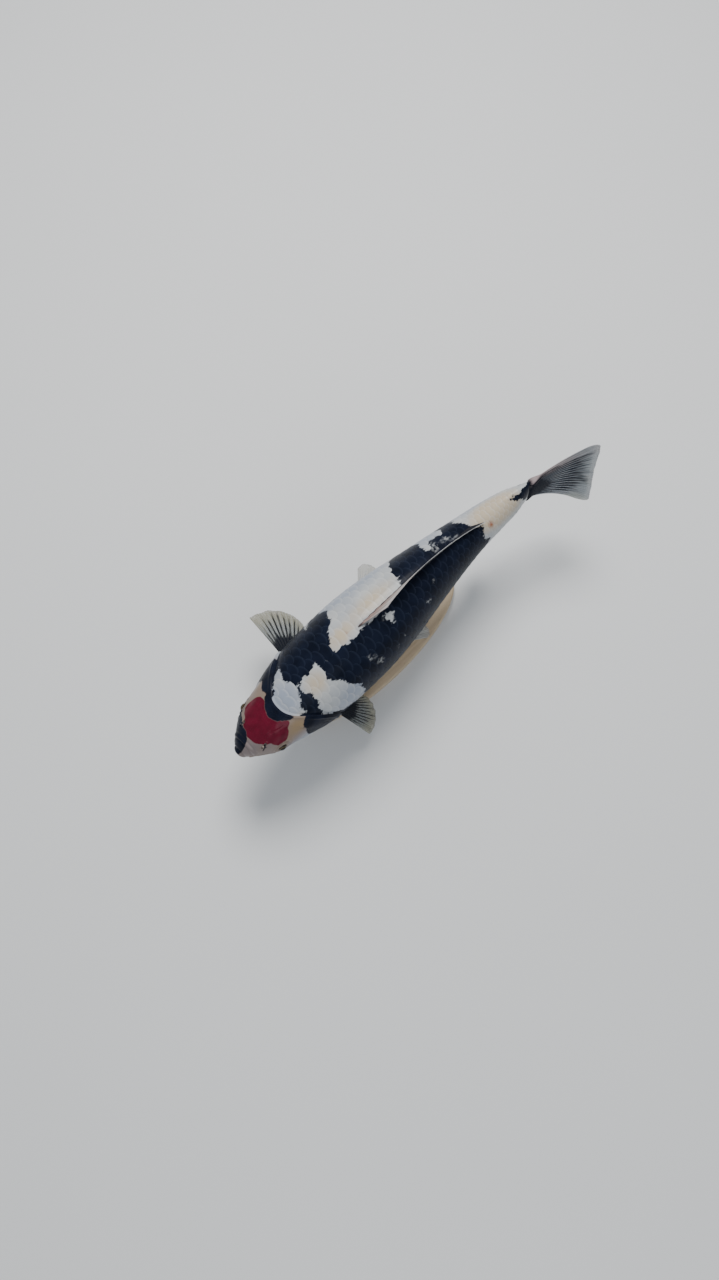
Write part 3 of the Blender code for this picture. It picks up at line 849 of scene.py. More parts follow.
def crown_relief(along, angle, girth):
    """The low ridges and sensory lines of the skull, and the nape's step."""
    ridge = 0.0005 * bell(girth, 0.0045) * smooth(along, 0.018, 0.03) * fading(along, 0.05, 0.066)
    line = np.abs(girth) - 0.0165 - 0.0035 * np.sin(along * 130.0)
    pores = -0.00035 * bell(line, 0.0008) * smooth(along, 0.032, 0.04) * fading(along, 0.066, 0.074)
    nape = ridges(trunk_front(angle) - along, (0.0005, 0.0025, 0.002))
    return (ridge + pores + nape) * fading(np.abs(girth), 0.03, 0.044)


def lumps(along, angle, girth):
    """Slow unevenness of the bare skin, but none on the belly's midline, where its edges meet."""
    waves = np.sin(along * 410.0 + 1.3) * np.sin(girth * 330.0 + 0.4)
    slower = np.sin(along * 150.0 - girth * 170.0 + 2.0)
    return (0.00011 * waves + 0.00016 * slower) * smooth(np.cos(angle), -1.0, -0.96)


def flank_share(girth):
    return smooth(np.abs(girth), 0.028, 0.052)


def relief(along, angle):
    """How far the skin stands out from the solid's, everywhere."""
    girth = girth_at(along, angle)
    back = along - trunk_front(angle)
    bare = eye_relief(along, girth) + nostril_relief(along, girth)
    for part in (mouth_relief, cheek_relief, crown_relief, lumps):
        bare = bare + part(along, angle, girth)
    gap = -0.0016 * (smooth(back, -0.0006, 0.0006) - smooth(back, 0.001, 0.0065))
    under = -COAT_DEPTH * smooth(back, -0.0006, 0.003) * fading(along, *COAT_END)
    end = -0.0022 * smooth(along, 0.5005, 0.5065) * np.abs(np.sin(angle)) ** 0.5
    bare = bare * fading(back, -0.0008, 0.0004) * smooth(along, 0.004, 0.009)
    return bare + gap * flank_share(girth) + under + end


def skin_places(share, turn):
    """Where each row and column of the skin's mesh stands, and its share of the lips."""
    angle = (turn - 0.5) * math.tau
    ends = np.cumsum((0,) + SKIN_ROWS) / sum(SKIN_ROWS)
    front = trunk_front(angle)
    stops = (LIPS_END, 0.056, front - 0.0012, front + 0.0048, 0.5, BODY_LENGTH)
    along = np.zeros_like(share)
    for start, end, low, high in zip(ends[1:], ends[2:], stops, stops[1:]):
        part = np.clip((share - start) / (end - start), 0.0, 1.0)
        along = np.where(share >= start - 1e-9, low + (high - low) * part, along)
    return along, angle, np.clip(share / ends[1], 0.0, 1.0), share < ends[1] - 1e-9


def lip_point(lip, angle):
    """The lips: round rolls from inside the closed mouth out to the first station."""
    row = on_curve(LIPS, np.linspace(0.0, 1.0, len(LIPS)), lip)
    top = LIP_FULLNESS + (HEAD_TOP_FULLNESS - LIP_FULLNESS) * lip
    left, up = section_point(row[..., 1:], angle, top)
    creases = 0.00004 * np.sin(angle * 22.0) * smooth(lip, 0.25, 0.5) * fading(lip, 0.75, 0.95)
    sides = (left / 0.008) ** 2 * fading(lip, 0.6, 1.0)
    return world(row[..., 0] + creases + 0.003 * sides, left, up - 0.0021 * sides)


def skin_point(turn, share):
    along, angle, lip, lips = skin_places(share, turn)
    points = skin(along, angle, relief(along, angle))
    points = np.where(lips[:, None], lip_point(lip, angle), points)
    end = world(BODY_LENGTH + 0.0002, 0.0, TAIL_ROOT_MID)
    return np.where(share[:, None] > 1.0 - 1e-9, end, points)


def skin_maps(turn, share):
    """Distance from the snout and round from the back, the same for baking, and the markings."""
    along, angle, lip, lips = skin_places(share, turn)
    angle = angle * 0.99999
    girth = girth_at(np.maximum(along, LIPS_END), angle)
    along = np.where(lips, LIPS_END * lip, along)
    spread = np.where(lips, LIP_MAP * lip, LIP_MAP + along)
    return {
        "Body": (along, girth),
        "OFBake": (spread / MAP_SIZE, 0.5 + girth / MAP_SIZE),
        **markings(along, girth, angle),
    }


def build_skin(settings):
    bm = surface(SKIN_SIDES, sum(SKIN_ROWS), skin_point, skin_maps)
    nodes = ("head", "trunk", "tail", "gill_cover_left", "gill_cover_right")
    finished("skin", bm, skin_material(settings), nodes)


# --- The scales ---

# From the first scale to the last, how far the first may reach under the gill cover, and
# each size of scale at some distances.
FIRST_SCALE, LAST_SCALE, UNDER_COVER = 0.05, 0.5, 0.004
ODD_ROW_SHIFT = 0.00525
SCALE_STATIONS = (0.07, 0.15, 0.25, 0.35, 0.45, 0.5)
SCALE_LENGTHS = (0.011, 0.0125, 0.0128, 0.0115, 0.009, 0.0075)
SCALE_FRONT = 2.1  # how far a scale reaches forward of its root, in scale lengths
SCALE_REAR = 0.66  # and back of it
SCALE_REACH = SCALE_FRONT + SCALE_REAR
# How much a scale varies from its size: its length, width, rear edge, tilt and lift.
SCALE_SPREAD = np.array((0.03, 0.02, 0.02, 0.03, 0.06))


def scale_template():
    """One scale over the unit square: a plate four rows long with a lip round it.

    Returns its vertices as shares back and across and a level, 1 on top and 0 under it,
    and its faces.
    """
    bm = bmesh.new()
    bmesh.ops.create_grid(bm, x_segments=4, y_segments=8, size=0.5)
    for vert in bm.verts:
        vert.co = (1.0 - (0.5 - vert.co.x) ** 1.35, vert.co.y + 0.5, 1.0)
    rim = [edge for edge in bm.edges if edge.is_boundary]
    for part in bmesh.ops.extrude_edge_only(bm, edges=rim)["geom"]:
        if isinstance(part, bmesh.types.BMVert):
            part.co.z = 0.0
    fill_holes(bm)
    bmesh.ops.recalc_face_normals(bm, faces=bm.faces)
    bm.verts.index_update()
    verts = np.array([vert.co[:] for vert in bm.verts])
    faces = [[vert.index for vert in face.verts] for face in bm.faces]
    bm.free()
    return verts, faces


def scale_roots():
    """The distance, the share of the half girth, the length and the row of a side's scales."""
    roots = []
    for row in range(SCALE_ROWS):
        share = (row + 0.5) / SCALE_ROWS
        along = FIRST_SCALE + row % 2 * ODD_ROW_SHIFT
        while along < LAST_SCALE:
            length = float(np.interp(along, SCALE_STATIONS, SCALE_LENGTHS))
            angle = float(angle_at(along, share * half_girth(along)))
            if along > trunk_front(angle) - UNDER_COVER:
                roots.append((along, share, length, row))
            along += length
    return np.array(roots)


def scale_heights(settings, lifted, along, place, back, across, level):
    """How high the scales' points stand over the coat's floor, most at their free edges."""
    taper = np.clip((BODY_LENGTH - along) / 0.03, 0.35, 1.0)
    taper = taper * (0.55 + 0.45 * smooth(along, 0.07, 0.12))
    height = settings.lift * (1.0 + lifted) * taper * (place + SCALE_FRONT) / SCALE_REACH
    height = height - 0.00012 * across**2 * back
    return height - settings.thickness * (1.0 - level) * (0.4 + 0.6 * back)


def repeated(points, faces, maps):
    """One bmesh of many like pieces: each one's points, the faces of one, and the UV maps."""
    count, corners, _ = points.shape
    every_face = [[i * corners + v for v in face] for i in range(count) for face in faces]
    mesh = bpy.data.meshes.new("pieces")
    mesh.from_pydata(points.reshape(-1, 3).tolist(), [], every_face)
    owner = np.empty(len(mesh.loops), dtype=np.int64)
    mesh.loops.foreach_get("vertex_index", owner)
    for name, pair in maps.items():
        values = np.stack([np.broadcast_to(part, (count, corners)) for part in pair], -1)
        values = values.reshape(-1, 2)[owner].ravel().astype(np.float32)
        mesh.uv_layers.new(name=name).data.foreach_set("uv", values)
    bm = bmesh.new()
    bm.from_mesh(mesh)
    bpy.data.meshes.remove(mesh)
    return bm


def build_scales(side, settings, material):
    """All the scales of one side in one mesh, each laid on the skin over those behind it."""
    template, faces = scale_template()
    roots = scale_roots()
    draw = np.random.default_rng(settings.seed + (side > 0))
    varied = draw.normal(0.0, 1.0, (len(roots), 5)) * SCALE_SPREAD
    longer, wider, ragged, tilt, lifted = (varied[:, i, None] for i in range(5))
    back, across, level = (template[None, :, i] for i in range(3))
    across = np.sin((across - 0.5) * math.pi)
    along, share, length, row = (roots[:, i, None] for i in range(4))
    girth = share * half_girth(along)
    half = settings.spread * half_girth(along) / SCALE_ROWS * (1.0 + wider)
    # a fan: straight sides, and a rear edge that is a flattened arc
    rear = SCALE_REAR * (0.3 + 0.7 * np.sqrt(np.maximum(0.0, 1.0 - across**2))) + ragged
    place = -SCALE_FRONT + (rear + SCALE_FRONT) * back
    x = place * length * (1.0 + longer) + tilt * across * half * back
    y = across * half * (0.86 + 0.14 * np.minimum(1.0, back * 1.5))
    height = scale_heights(settings, lifted, along, place, back, across, level)
    s = np.clip(along + x, 0.0, BODY_LENGTH - 0.0004)
    w = side * (girth * half_girth(s) / half_girth(along) + y)
    s = np.maximum(s, trunk_front(angle_at(s, w)) - 0.0008)
    angle = angle_at(s, w)
    behind = s - trunk_front(angle)
    sunk = 0.001 * fading(behind, 0.0006, 0.005) * (1.0 + flank_share(w))
    points = skin(s, angle, -COAT_DEPTH + height - sunk)
    root_w = side * girth
    # the markings half follow the scales' edges
    near_root = (at + ROOT_SHARE * (root - at) for at, root in ((s, along), (w, root_w)))
    marks = markings(*near_root, angle)
    maps = {
        "Body": (s, w),
        "Root": (along, root_w),
        "Scale": (back, across * 0.5 + 0.5 + LATERAL_MARK * (row == LATERAL_ROW)),
        "OFBake": (
            (along + LIP_MAP) / MAP_SIZE + (back - 0.5) * 0.003,
            0.5 + root_w / MAP_SIZE + across * 0.0015,
        ),
        **marks,
        "Edge": (behind, marks["Edge"][1]),
    }
    bm = repeated(points, faces, maps)
    finished(f"scales_{hand(side)}", bm, material, sharp=35.0)


# --- The fins ---

LONGEST_RAY = 0.16  # as a share of the base
FIRST_ROW = -0.05  # a fin's mesh starts a little inside the body


def quarter(share):
    """From 0 to 1 on a quarter of a sine wave, and level past it."""
    return np.sin(math.pi / 2 * np.minimum(1.0, share))


def ray_length(across, front, longest, rear):
    """Rays grow quickly from the front one to the longest, then shorten to the rear."""
    rising = front + (longest - front) * quarter(across / LONGEST_RAY)
    fall = np.clip((across - LONGEST_RAY) / (1 - LONGEST_RAY), 0.0, 1.0)
    falling = rear + (longest - rear) * np.cos(math.pi / 2 * fall)
    return np.where(across < LONGEST_RAY, rising, falling)


def up_by(rise):
    return np.stack((0 * rise, 0 * rise, rise), -1)


def paired_fin_place(side, base, first, last, lengths, droop):
    (along_a, angle_a), (along_b, angle_b) = base
    first, last = (unit(np.array((side * x, y, z))) for x, y, z in (first, last))

    def place_of(across, outward):
        along = along_a + (along_b - along_a) * across
        angle = side * (angle_a + (angle_b - angle_a) * across)
        ray = unit(first + (last - first) * across[:, None])
        reach = ray_length(across, *lengths) * outward
        sag = up_by(-droop * np.maximum(outward, 0.0) ** 2)
        return skin(along, angle, FIN_GAP * 0.8) + ray * reach[:, None] + sag

    return place_of


def dorsal_place(across, outward):
    """Half folded: long rays swept back low over the ridge, their tips to its left."""
    start, end = DORSAL_BASE
    along = start + (end - start) * across
    back = unit(skin(along + 0.004, 0.0) - skin(along - 0.004, 0.0))
    left = unit(np.cross(back, (0.0, 0.0, 1.0)))
    rise = np.radians(17.0 - 11.0 * across)
    reach = ray_length(across, *DORSAL_RAYS) * outward
    sway = (0.008 * (1.0 - across) ** 8 + 0.007 * across**3 + 0.0018) * outward
    back_way, up_way = (reach * np.cos(rise))[:, None], (reach * np.sin(rise))[:, None]
    ray = back * back_way + np.cross(left, back) * up_way
    return skin(along, 0.0, FIN_GAP * 0.7) + ray + left * sway[:, None]


def anal_place(across, outward):
    """Half folded under the tail."""
    start, end = ANAL_BASE
    root = skin(start + (end - start) * across, math.pi, FIN_GAP * 0.7)
    drop = np.radians(50.0 - 14.0 * across)
    reach = ray_length(across, *ANAL_RAYS) * outward
    turn = float(heading(start))
    forward = np.array((math.sin(turn), math.cos(turn), 0.0))
    return root + forward * (reach * np.cos(drop))[:, None] + up_by(-reach * np.sin(drop))


def caudal_place(across, outward):
    """Two rounded lobes round a shallow fork, curling to the left with the midline."""
    side = 2 * across - 1
    lobe = np.abs(side)
    upper = 0.5 + 0.5 * np.sin(math.pi / 2 * side)
    longest = CAUDAL_LOWER_LOBE + (CAUDAL_UPPER_LOBE - CAUDAL_LOWER_LOBE) * upper
    length = CAUDAL_FORK + (longest - CAUDAL_FORK) * quarter(lobe / 0.86) ** 2.2
    length = length - 0.017 * np.maximum(0.0, (lobe - 0.8) / 0.2) ** 2
    spread = CAUDAL_SPREAD * side
    bow = 0.002 * side * np.sin(math.pi * np.clip(outward, 0.0, 1.0))
    along = BODY_LENGTH + 0.0005 + length * np.cos(spread) * outward
    up = TAIL_ROOT_MID + CAUDAL_HALF_ROOT * side + length * np.sin(spread) * outward + bow
    lean = CAUDAL_LOWER_LEAN + (CAUDAL_UPPER_LEAN - CAUDAL_LOWER_LEAN) * upper
    far = (along - BODY_LENGTH) / CAUDAL_FORK
    inside = np.clip(far, 0.0, 1.0)
    drooping = 0.0045 * np.maximum(0.0, (-side - 0.55) / 0.45) ** 1.5 * inside**3
    return world(along, CAUDAL_CURL * far**2 - np.tan(lean) * inside**2 * up + drooping, up)


class Fin(NamedTuple):
    """A fin's shape, its number of rays and its thickness at the root, edge and first ray.

    Then where its rays fork, the flesh over its root, the waves of its edge, the rows of
    its mesh and the ruffles of its skin.
    """

    place_of: object
    rays: int
    root: float
    edge: float
    lead: float
    forks: tuple
    flesh: float
    wave: float
    rows: int
    ruffle: float = 0.0006

    def near_ray(self, across, outward):
        """How near a place is to a fin ray: 1 on its middle. Each ray forks twice."""
        off = across * self.rays
        off = np.abs(off - np.round(off))
        for fork, last, apart in ray_forks(self.forks):
            off = np.abs(off - apart * smooth(outward, fork, last))
        return bell(off, 0.17 - 0.085 * smooth(outward, 0.05, 0.8))

    def outward(self, along):
        return FIRST_ROW + (1.0 - FIRST_ROW) * along

    def middle(self, across, outward):
        notch = (1.0 - self.near_ray(across, outward)) * smooth(outward, 0.7, 1.0)
        swing = 0.25 + 0.25 * np.sin(across * 37.0 + 1.0)
        notch = self.wave * (notch + swing * smooth(outward, 0.8, 1.0))
        return self.place_of(across, outward * (1.0 - notch))

    def normal(self, across, outward, step=0.004):
        low, high = np.clip(across - step, 0.0, 1.0), np.clip(across + step, 0.0, 1.0)
        sideways = self.place_of(high, outward) - self.place_of(low, outward)
        lengthwise = self.place_of(across, outward + step) - self.place_of(across, outward - step)
        return unit(np.cross(sideways, lengthwise) + 1e-12)

    def half_thickness(self, across, outward):
        out = np.clip(outward, 0.0, 1.0)
        web = self.edge * (0.45 + 0.55 * (1.0 - out))
        bones = self.root * 0.4 * (1.0 - out) ** 1.3 + self.edge * 0.36
        flesh = self.flesh * fading(out, 0.0, 0.24) ** 1.6
        leading = self.lead * bell(across, 0.03) * (1.0 - out) ** 0.6
        ends = np.sqrt(np.clip(np.minimum(across, 1.0 - across) / 0.012, 0.0, 1.0))
        tip = np.sqrt(np.clip((1.0 - outward) / 0.012, 0.0, 1.0))
        start = np.clip((outward - FIRST_ROW) / 0.03, 0.0, 1.0)
        bones = bones * self.near_ray(across, outward)
        return (0.5 * web + bones + flesh + leading) * ends * tip * start

    def point(self, turn, along):
        across, face = wrapped(turn)
        outward = self.outward(along)
        ripple = np.sin(across * self.rays * math.pi + outward * 3.0) * smooth(outward, 0.35, 1.0)
        ripple = ripple * np.clip(np.minimum(across, 1.0 - across) / 0.05, 0.0, 1.0)
        off = face * self.half_thickness(across, outward) + self.ruffle * ripple
        return self.middle(across, outward) + self.normal(across, outward) * off[:, None]

    def maps(self, turn, along):
        across, face = wrapped(turn)
        halves = np.where(face > 0, across * 0.49, 1.0 - across * 0.49)
        return {"Fin": (across, self.outward(along)), "OFBake": (halves, along * 0.98 + 0.01)}


def ray_forks(forks):
    """Where each fork of a ray starts and ends, and how far apart it sets the branches."""
    return (forks[0], 1.05, 0.25), (forks[1], 1.1, 0.115)


def make_fins():
    """Every fin by name, with its node in the frame."""
    fins = {}
    for (name, side), rays in PAIRED_FINS.items():
        place_of = paired_fin_place(side, *rays)
        fins[f"fin_{name}_{hand(side)}"] = Fin(place_of, *FIN_SHAPES[name])
    singles = {"dorsal": dorsal_place, "anal": anal_place, "caudal": caudal_place}
    for name, place_of in singles.items():
        fins["fin_" + name] = Fin(place_of, *FIN_SHAPES[name])
    return fins


FIN_SHAPES = {
    "pectoral": (14, 0.0016, 0.0005, 0.0005, (0.22, 0.52), 0.0016, 0.02, 70),
    "pelvic": (8, 0.0012, 0.0005, 0.0003, (0.25, 0.55), 0.0012, 0.018, 60, 0.0003),
    "dorsal": (20, 0.0008, 0.0005, 0.0005, (0.3, 0.6), 0.0007, 0.016, 52, 0.0001),
    "anal": (6, 0.0012, 0.0005, 0.0004, (0.25, 0.55), 0.001, 0.02, 50, 0.0003),
    "caudal": (18, 0.0011, 0.0006, 0.0004, (0.16, 0.42), 0.0041, 0.008, 100, 0.0003),
}
# For each kind, by the share from its first ray to its last: how far out the black of the
# root reaches, and how far it runs on along the rays. Then the colours of the rays, of the
# skin between them and of the outer edge.
FIN_INK = {
    "pectoral": (
        ((0.0, 0.36), (0.3, 0.5), (0.78, 0.52), (1.0, 0.38)),
        ((0.0, 0.62), (0.2, 0.86), (0.8, 0.88), (1.0, 0.66)),
    ),
    "pelvic": (((0.0, 0.02), (1.0, 0.05)), ((0.0, 0.1), (1.0, 0.22))),
    "dorsal": (
        ((0.0, 0.0), (0.16, 0.04), (0.3, 0.78), (1.0, 0.84)),
        ((0.0, 0.1), (0.2, 0.3), (0.3, 0.84), (1.0, 0.9)),
    ),
    "anal": (((0.0, 0.05), (1.0, 0.12)), ((0.0, 0.3), (1.0, 0.4))),
    "caudal": (
        ((0.0, 0.16), (0.1, 0.3), (0.35, 0.4), (0.55, 0.3), (0.72, 0.14), (0.84, 0.0), (1.0, 0.0)),
        ((0.0, 0.3), (0.12, 0.76), (0.45, 0.88), (0.84, 0.82), (0.93, 0.3), (1.0, 0.0)),
    ),
}
FIN_COLOURS = {
    "pectoral": ((0.3, 0.3, 0.25), (0.17, 0.19, 0.19), (0.3, 0.29, 0.22)),
    "pelvic": ((0.5, 0.5, 0.48), (0.4, 0.42, 0.43), (0.5, 0.5, 0.48)),
    "dorsal": ((0.5, 0.47, 0.44), (0.42, 0.39, 0.38), (0.66, 0.67, 0.68)),
    "anal": ((0.48, 0.48, 0.46), (0.36, 0.39, 0.41), (0.5, 0.5, 0.46)),
    "caudal": ((0.25, 0.25, 0.26), (0.15, 0.18, 0.22), (0.3, 0.34, 0.36)),
}


def ray_nearness(fin, across, outward, wider=1.0):
    """The same rays as the mesh has, as a share of 0 to 1."""
    off = (across * float(fin.rays)).off_whole()
    for fork, last, apart in ray_forks(fin.forks):
        off = (off - outward.step(fork, last, 0.0, apart)).size()
    width = outward.step(0.05, 0.8, 0.19 * wider, 0.085 * wider)
    return (off / width).fade(0.55, 1.25)


def fin_material(kind, fin, settings, body_settings):
    """Bony rays in thin skin, and the black that runs out along the rays from the root."""
    paint = Paint("koi_" + kind, Coat_Roughness=0.2, Specular_IOR_Level=0.04)
    flat = paint.uv("Fin")
    across, outward, _ = paint.split(flat)
    rays = ray_nearness(fin, across, outward)
    if kind == "caudal":
        wide = ray_nearness(fin, across, outward, 2.2)
    else:
        apart = (across * float(fin.rays)).off_whole()
        wide = (apart / outward.step(0.1, 0.9, 0.38, 0.2)).fade(0.6, 1.1)
    stretched = paint.mapped(flat, (0.05, 0.6, 1.0))
    streaks = paint.noise(stretched, 1.6) - 0.5
    clouds = paint.noise(paint.mapped(flat, (0.25, 0.3, 1.0)), 1.0)
    joints = (outward * 190.0 + clouds * 6.0).sine().step(0.55, 0.95) * rays
    joints = joints * outward.step(0.25, 0.5)
    reach, run = (paint.ramp(across, stops) for stops in FIN_INK[kind])
    black = (outward + streaks * 0.45 - reach).fade(-0.035, 0.05)
    gaps = paint.noise(stretched, 3.4, 1.0).step(0.3, 0.52)
    stripe = (outward + streaks * 0.6 - run).fade(-0.12, 0.08) * wide
    black = black.larger(stripe * (0.62 + 0.38 * gaps))
    ray_colour, web, edge = FIN_COLOURS[kind]
    colour = paint.over(
        web,
        (rays * 0.8, ray_colour),
        (outward.step(0.62, 0.96) * 0.8, edge),
        (joints * 0.22, (0.2, 0.19, 0.18)),
        (clouds.step(0.5, 0.8) * 0.25, (0.3, 0.26, 0.2)),
    )
    if kind == "caudal":
        # the upper lobe's own rosy tint
        rosy_tint_and_fold_shade = across.step(0.66, 0.86) * outward.step(0.3, 0.8, 1.0, 0.2) * 0.8
        tip = across.fade(0.04, 0.16) * outward.step(0.66, 0.84)
        colour = paint.over(colour, (rosy_tint_and_fold_shade, (0.36, 0.28, 0.28)), (tip, (0.36, 0.38, 0.36)))
    if kind == "dorsal":
        # painted shade of the fold: rosy brown along the front rays of the half folded fin
        rosy_tint_and_fold_shade = across.fade(0.1, 0.34) * outward.step(0.15, 0.75, 1.0, 0.35)
        colour = paint.blend(rosy_tint_and_fold_shade * 0.75, colour, (0.34, 0.21, 0.18))
    ink = black * 0.96
    solid = ink.larger(rays * 0.75).larger(outward.fade(0.04, 0.3))
    alpha = settings.opacity + (1.0 - settings.opacity) * solid
    fine = paint.noise(paint.mapped(flat, (0.01, 0.08, 1.0)), 2.0, 2.0, 0.6)
    return paint.show(
        Base_Color=paint.blend(ink, colour, body_settings.black),
        Roughness=0.32 + streaks * 0.14,
        Coat_Weight=0.01 + (1.0 - black) * 0.09,
        Alpha=alpha * outward.step(0.86, 1.0, 1.0, 0.72),
        Normal=paint.bump(rays * 0.5 - joints * 0.4 + fine * 0.4, 0.0001, 0.4),
    )


def build_fins(settings, body_settings):
    materials = {}
    for node, fin in make_fins().items():
        kind = node.split("_")[1]
        if kind not in materials:
            materials[kind] = fin_material(kind, fin, settings, body_settings)
        bm = surface(20 * fin.rays, fin.rows, fin.point, fin.maps)
        finished(f"{node}_skin", bm, materials[kind], (node,))


# --- Eyes, feelers and nostril flaps ---

EYE_FIT = 0.985
CORNEA_BULGE, CORNEA_WIDTH = 0.035, 0.16


def build_eye(side, material):
    """An eyeball with a front that bulges a little, its maps running out from the pupil."""
    name = "eye_" + hand(side)
    middle = box_middle(name)
    # square to the skin round it, but a little lower
    axis = Vector(spot(EYE_ALONG, side * EYE_ANGLE)[1] + (0.0, 0.06, -0.03))
    turn = axis.to_track_quat("Z", "Y").to_matrix()
    bm = bmesh.new()
    bmesh.ops.create_uvsphere(bm, u_segments=64, v_segments=48, radius=1.0)
    polar = bm.loops.layers.uv.new("Iris")
    for face in bm.faces:
        for loop in face.loops:
            x, y, z = loop.vert.co
            reach = 0.5 * math.acos(max(-1.0, min(1.0, z))) / math.pi / (math.hypot(x, y) or 1.0)
            loop[polar].uv = (0.5 + reach * x, 0.5 + reach * y)
    for vert in bm.verts:
        clear = 1.0 + CORNEA_BULGE * math.exp(-(((1.0 - vert.co.z) / CORNEA_WIDTH) ** 2))
        vert.co = middle + turn @ (vert.co * EYE_RADIUS * EYE_FIT * clear)
    finished(name + "_ball", bm, material, (name,))


def eye_material(settings):
    """A large dark pupil, a thin gold ring round it and a smoky brown iris."""
    paint = Paint("koi_eye", Coat_Weight=0.22, Coat_Roughness=0.03, Specular_IOR_Level=0.12)
    off = paint.vector("SUBTRACT", paint.uv("Iris"), (0.5, 0.5, 0.0))
    radial = paint.noise(paint.scaled(paint.vector("NORMALIZE", off), 6.0), 2.4, 3.0, 0.7)
    edge = paint.vector("LENGTH", off, output=1) * 2.0 + (radial - 0.5) * 0.01
    # from the axis: the pupil, the iris to the opening's edge, then the hidden white
    beyond = edge - 0.36 * settings.pupil_share
    ring = beyond.step(0.0, 0.008)
    colour = paint.over(
        (0.0012, 0.0012, 0.0018),
        (ring, settings.iris),
        (beyond.step(0.012, 0.034), (0.022, 0.016, 0.011)),
        (radial.step(0.42, 0.66) * ring * 0.3, (0.085, 0.062, 0.036)),
        (edge.step(0.28, 0.35), (0.008, 0.007, 0.009)),
    )
    return paint.show(Base_Color=colour, Roughness=0.08 + ring * 0.12)


def tube(name, points, radii, material, node):
    """A round, closed, tapering tube along a smooth path."""
    path, radii = np.array(points), np.array(radii)
    last = len(path) - 1
    tangent = unit(np.gradient(path, axis=0))
    first = unit(np.cross(tangent, (0.13, 0.27, 0.95)))
    second = np.cross(tangent, first)

    def point(turn, share):
        row = np.round(share * (last + 2 * CAP_ROWS)).astype(int) - CAP_ROWS
        inner = np.clip(row, 0, last)
        past = (row - inner)[:, None] / CAP_ROWS
        radius = radii[inner, None]
        angle = turn[:, None] * math.tau
        ring = first[inner] * np.cos(angle) + second[inner] * np.sin(angle)
        round_off = np.sqrt(np.maximum(0.0, 1.0 - past**2))
        return path[inner] + ring * radius * round_off + tangent[inner] * past * radius * 0.9

    bm = surface(TUBE_SIDES, last + 2 * CAP_ROWS, point)
    finished(name, bm, material, (node,))


CAP_ROWS = 3
TUBE_SIDES = 20
BARBEL_STEPS = 30
BARBEL_ROOT = 0.0012  # how far under the skin a feeler starts
# Where each feeler leaves the lip, its length and thickness, and where it trails to.
BARBELS = {
    "barbel_long": (0.014, math.radians(132.0), 0.021, 0.0026, (0.0, 0.74, -0.68)),
    "barbel_short": (0.008, math.radians(94.0), 0.009, 0.0018, (0.3, 0.7, -0.6)),
}


def build_barbels(side, material):
    """The feelers, on the same lines as the solids' but round and smoothly bent."""
    for kind, (along, angle, length, thickness, (x, y, z)) in BARBELS.items():
        trailing = unit(np.array((side * x, y, z)))
        place, outwards = spot(along, side * angle, -BARBEL_ROOT)
        out = 0.65 * outwards + 0.35 * trailing
        points, radii = [], []
        for i in range(BARBEL_STEPS + 1):
            share = i / BARBEL_STEPS
            points.append(place)
            swelling = 0.35 * math.exp(-((share / 0.1) ** 2)) + 0.025 * math.sin(share * 70.0)
            radii.append(thickness / 2 * (1.0 - 0.62 * share + swelling) * 0.97)
            mix = min(1.0, 3.2 * share)
            mix = mix * mix * (3 - 2 * mix) * 0.3 + mix * 0.7
            step = unit(out + (trailing - out) * mix)
            place = place + step * (length + BARBEL_ROOT) / BARBEL_STEPS
        node = f"{kind}_{hand(side)}"
        tube(node + "_skin", points, radii, material, node)


def build_nostril_flap(side, material):
    """The small half funnel of skin that stands behind a front nostril."""

    def rounded(inside):
        return np.sqrt(np.clip(inside / 0.25, 0.0, 1.0))

    def place_of(turn, rise):
        share, face = wrapped(turn)
        sweep = (share - 0.5) * 2.0
        lean = sweep * math.radians(105.0)
        height = -0.0007 + 0.0027 * rise * (0.15 + 0.85 * np.cos(lean * 0.8))
        thick = 0.00052 * (1.0 - 0.55 * rise) * rounded(1.0 - np.abs(sweep))
        reach = 0.0019 - 0.0003 * rise + face * thick * rounded(1.0 - rise)
        along = 0.0262 + reach * np.cos(lean)
        girth = side * (NOSTRIL_GIRTH + reach * np.sin(lean))
        return skin(along, angle_at(along, girth), height)

    bm = surface(40, 10, place_of)
    fill_holes(bm)
    finished("nostril_flap_" + hand(side), bm, material)


def soft_material(side):
    """Bare soft skin for the feelers and the flaps at the nostrils, black on the right."""
    first, second = SOFT_COLOURS[side]
    name = "koi_soft_" + hand(side)
    paint = Paint(name, Coat_Weight=0.12, Coat_Roughness=0.16, Specular_IOR_Level=0.1)
    mottle = paint.noise(paint.scaled(paint.place(), 1000.0), 0.7, 3.0, 0.6)
    return paint.show(
        Base_Color=paint.blend(mottle.step(0.4, 0.65), first, second),
        Roughness=0.26 + mottle * 0.14,
        Normal=paint.bump(mottle, 0.0001, 0.5),
    )


SOFT_COLOURS = {
    1: ((0.33, 0.27, 0.23), (0.25, 0.2, 0.17)),
    -1: ((0.02, 0.022, 0.03), (0.1, 0.09, 0.085)),
}

# --- The stand ---

BASE_ALONG = 0.24
BASE_HALVES = (0.049, 0.15)
BEVEL = {"affect": "EDGES", "profile": 0.5, "material": -1, "clamp_overlap": True}


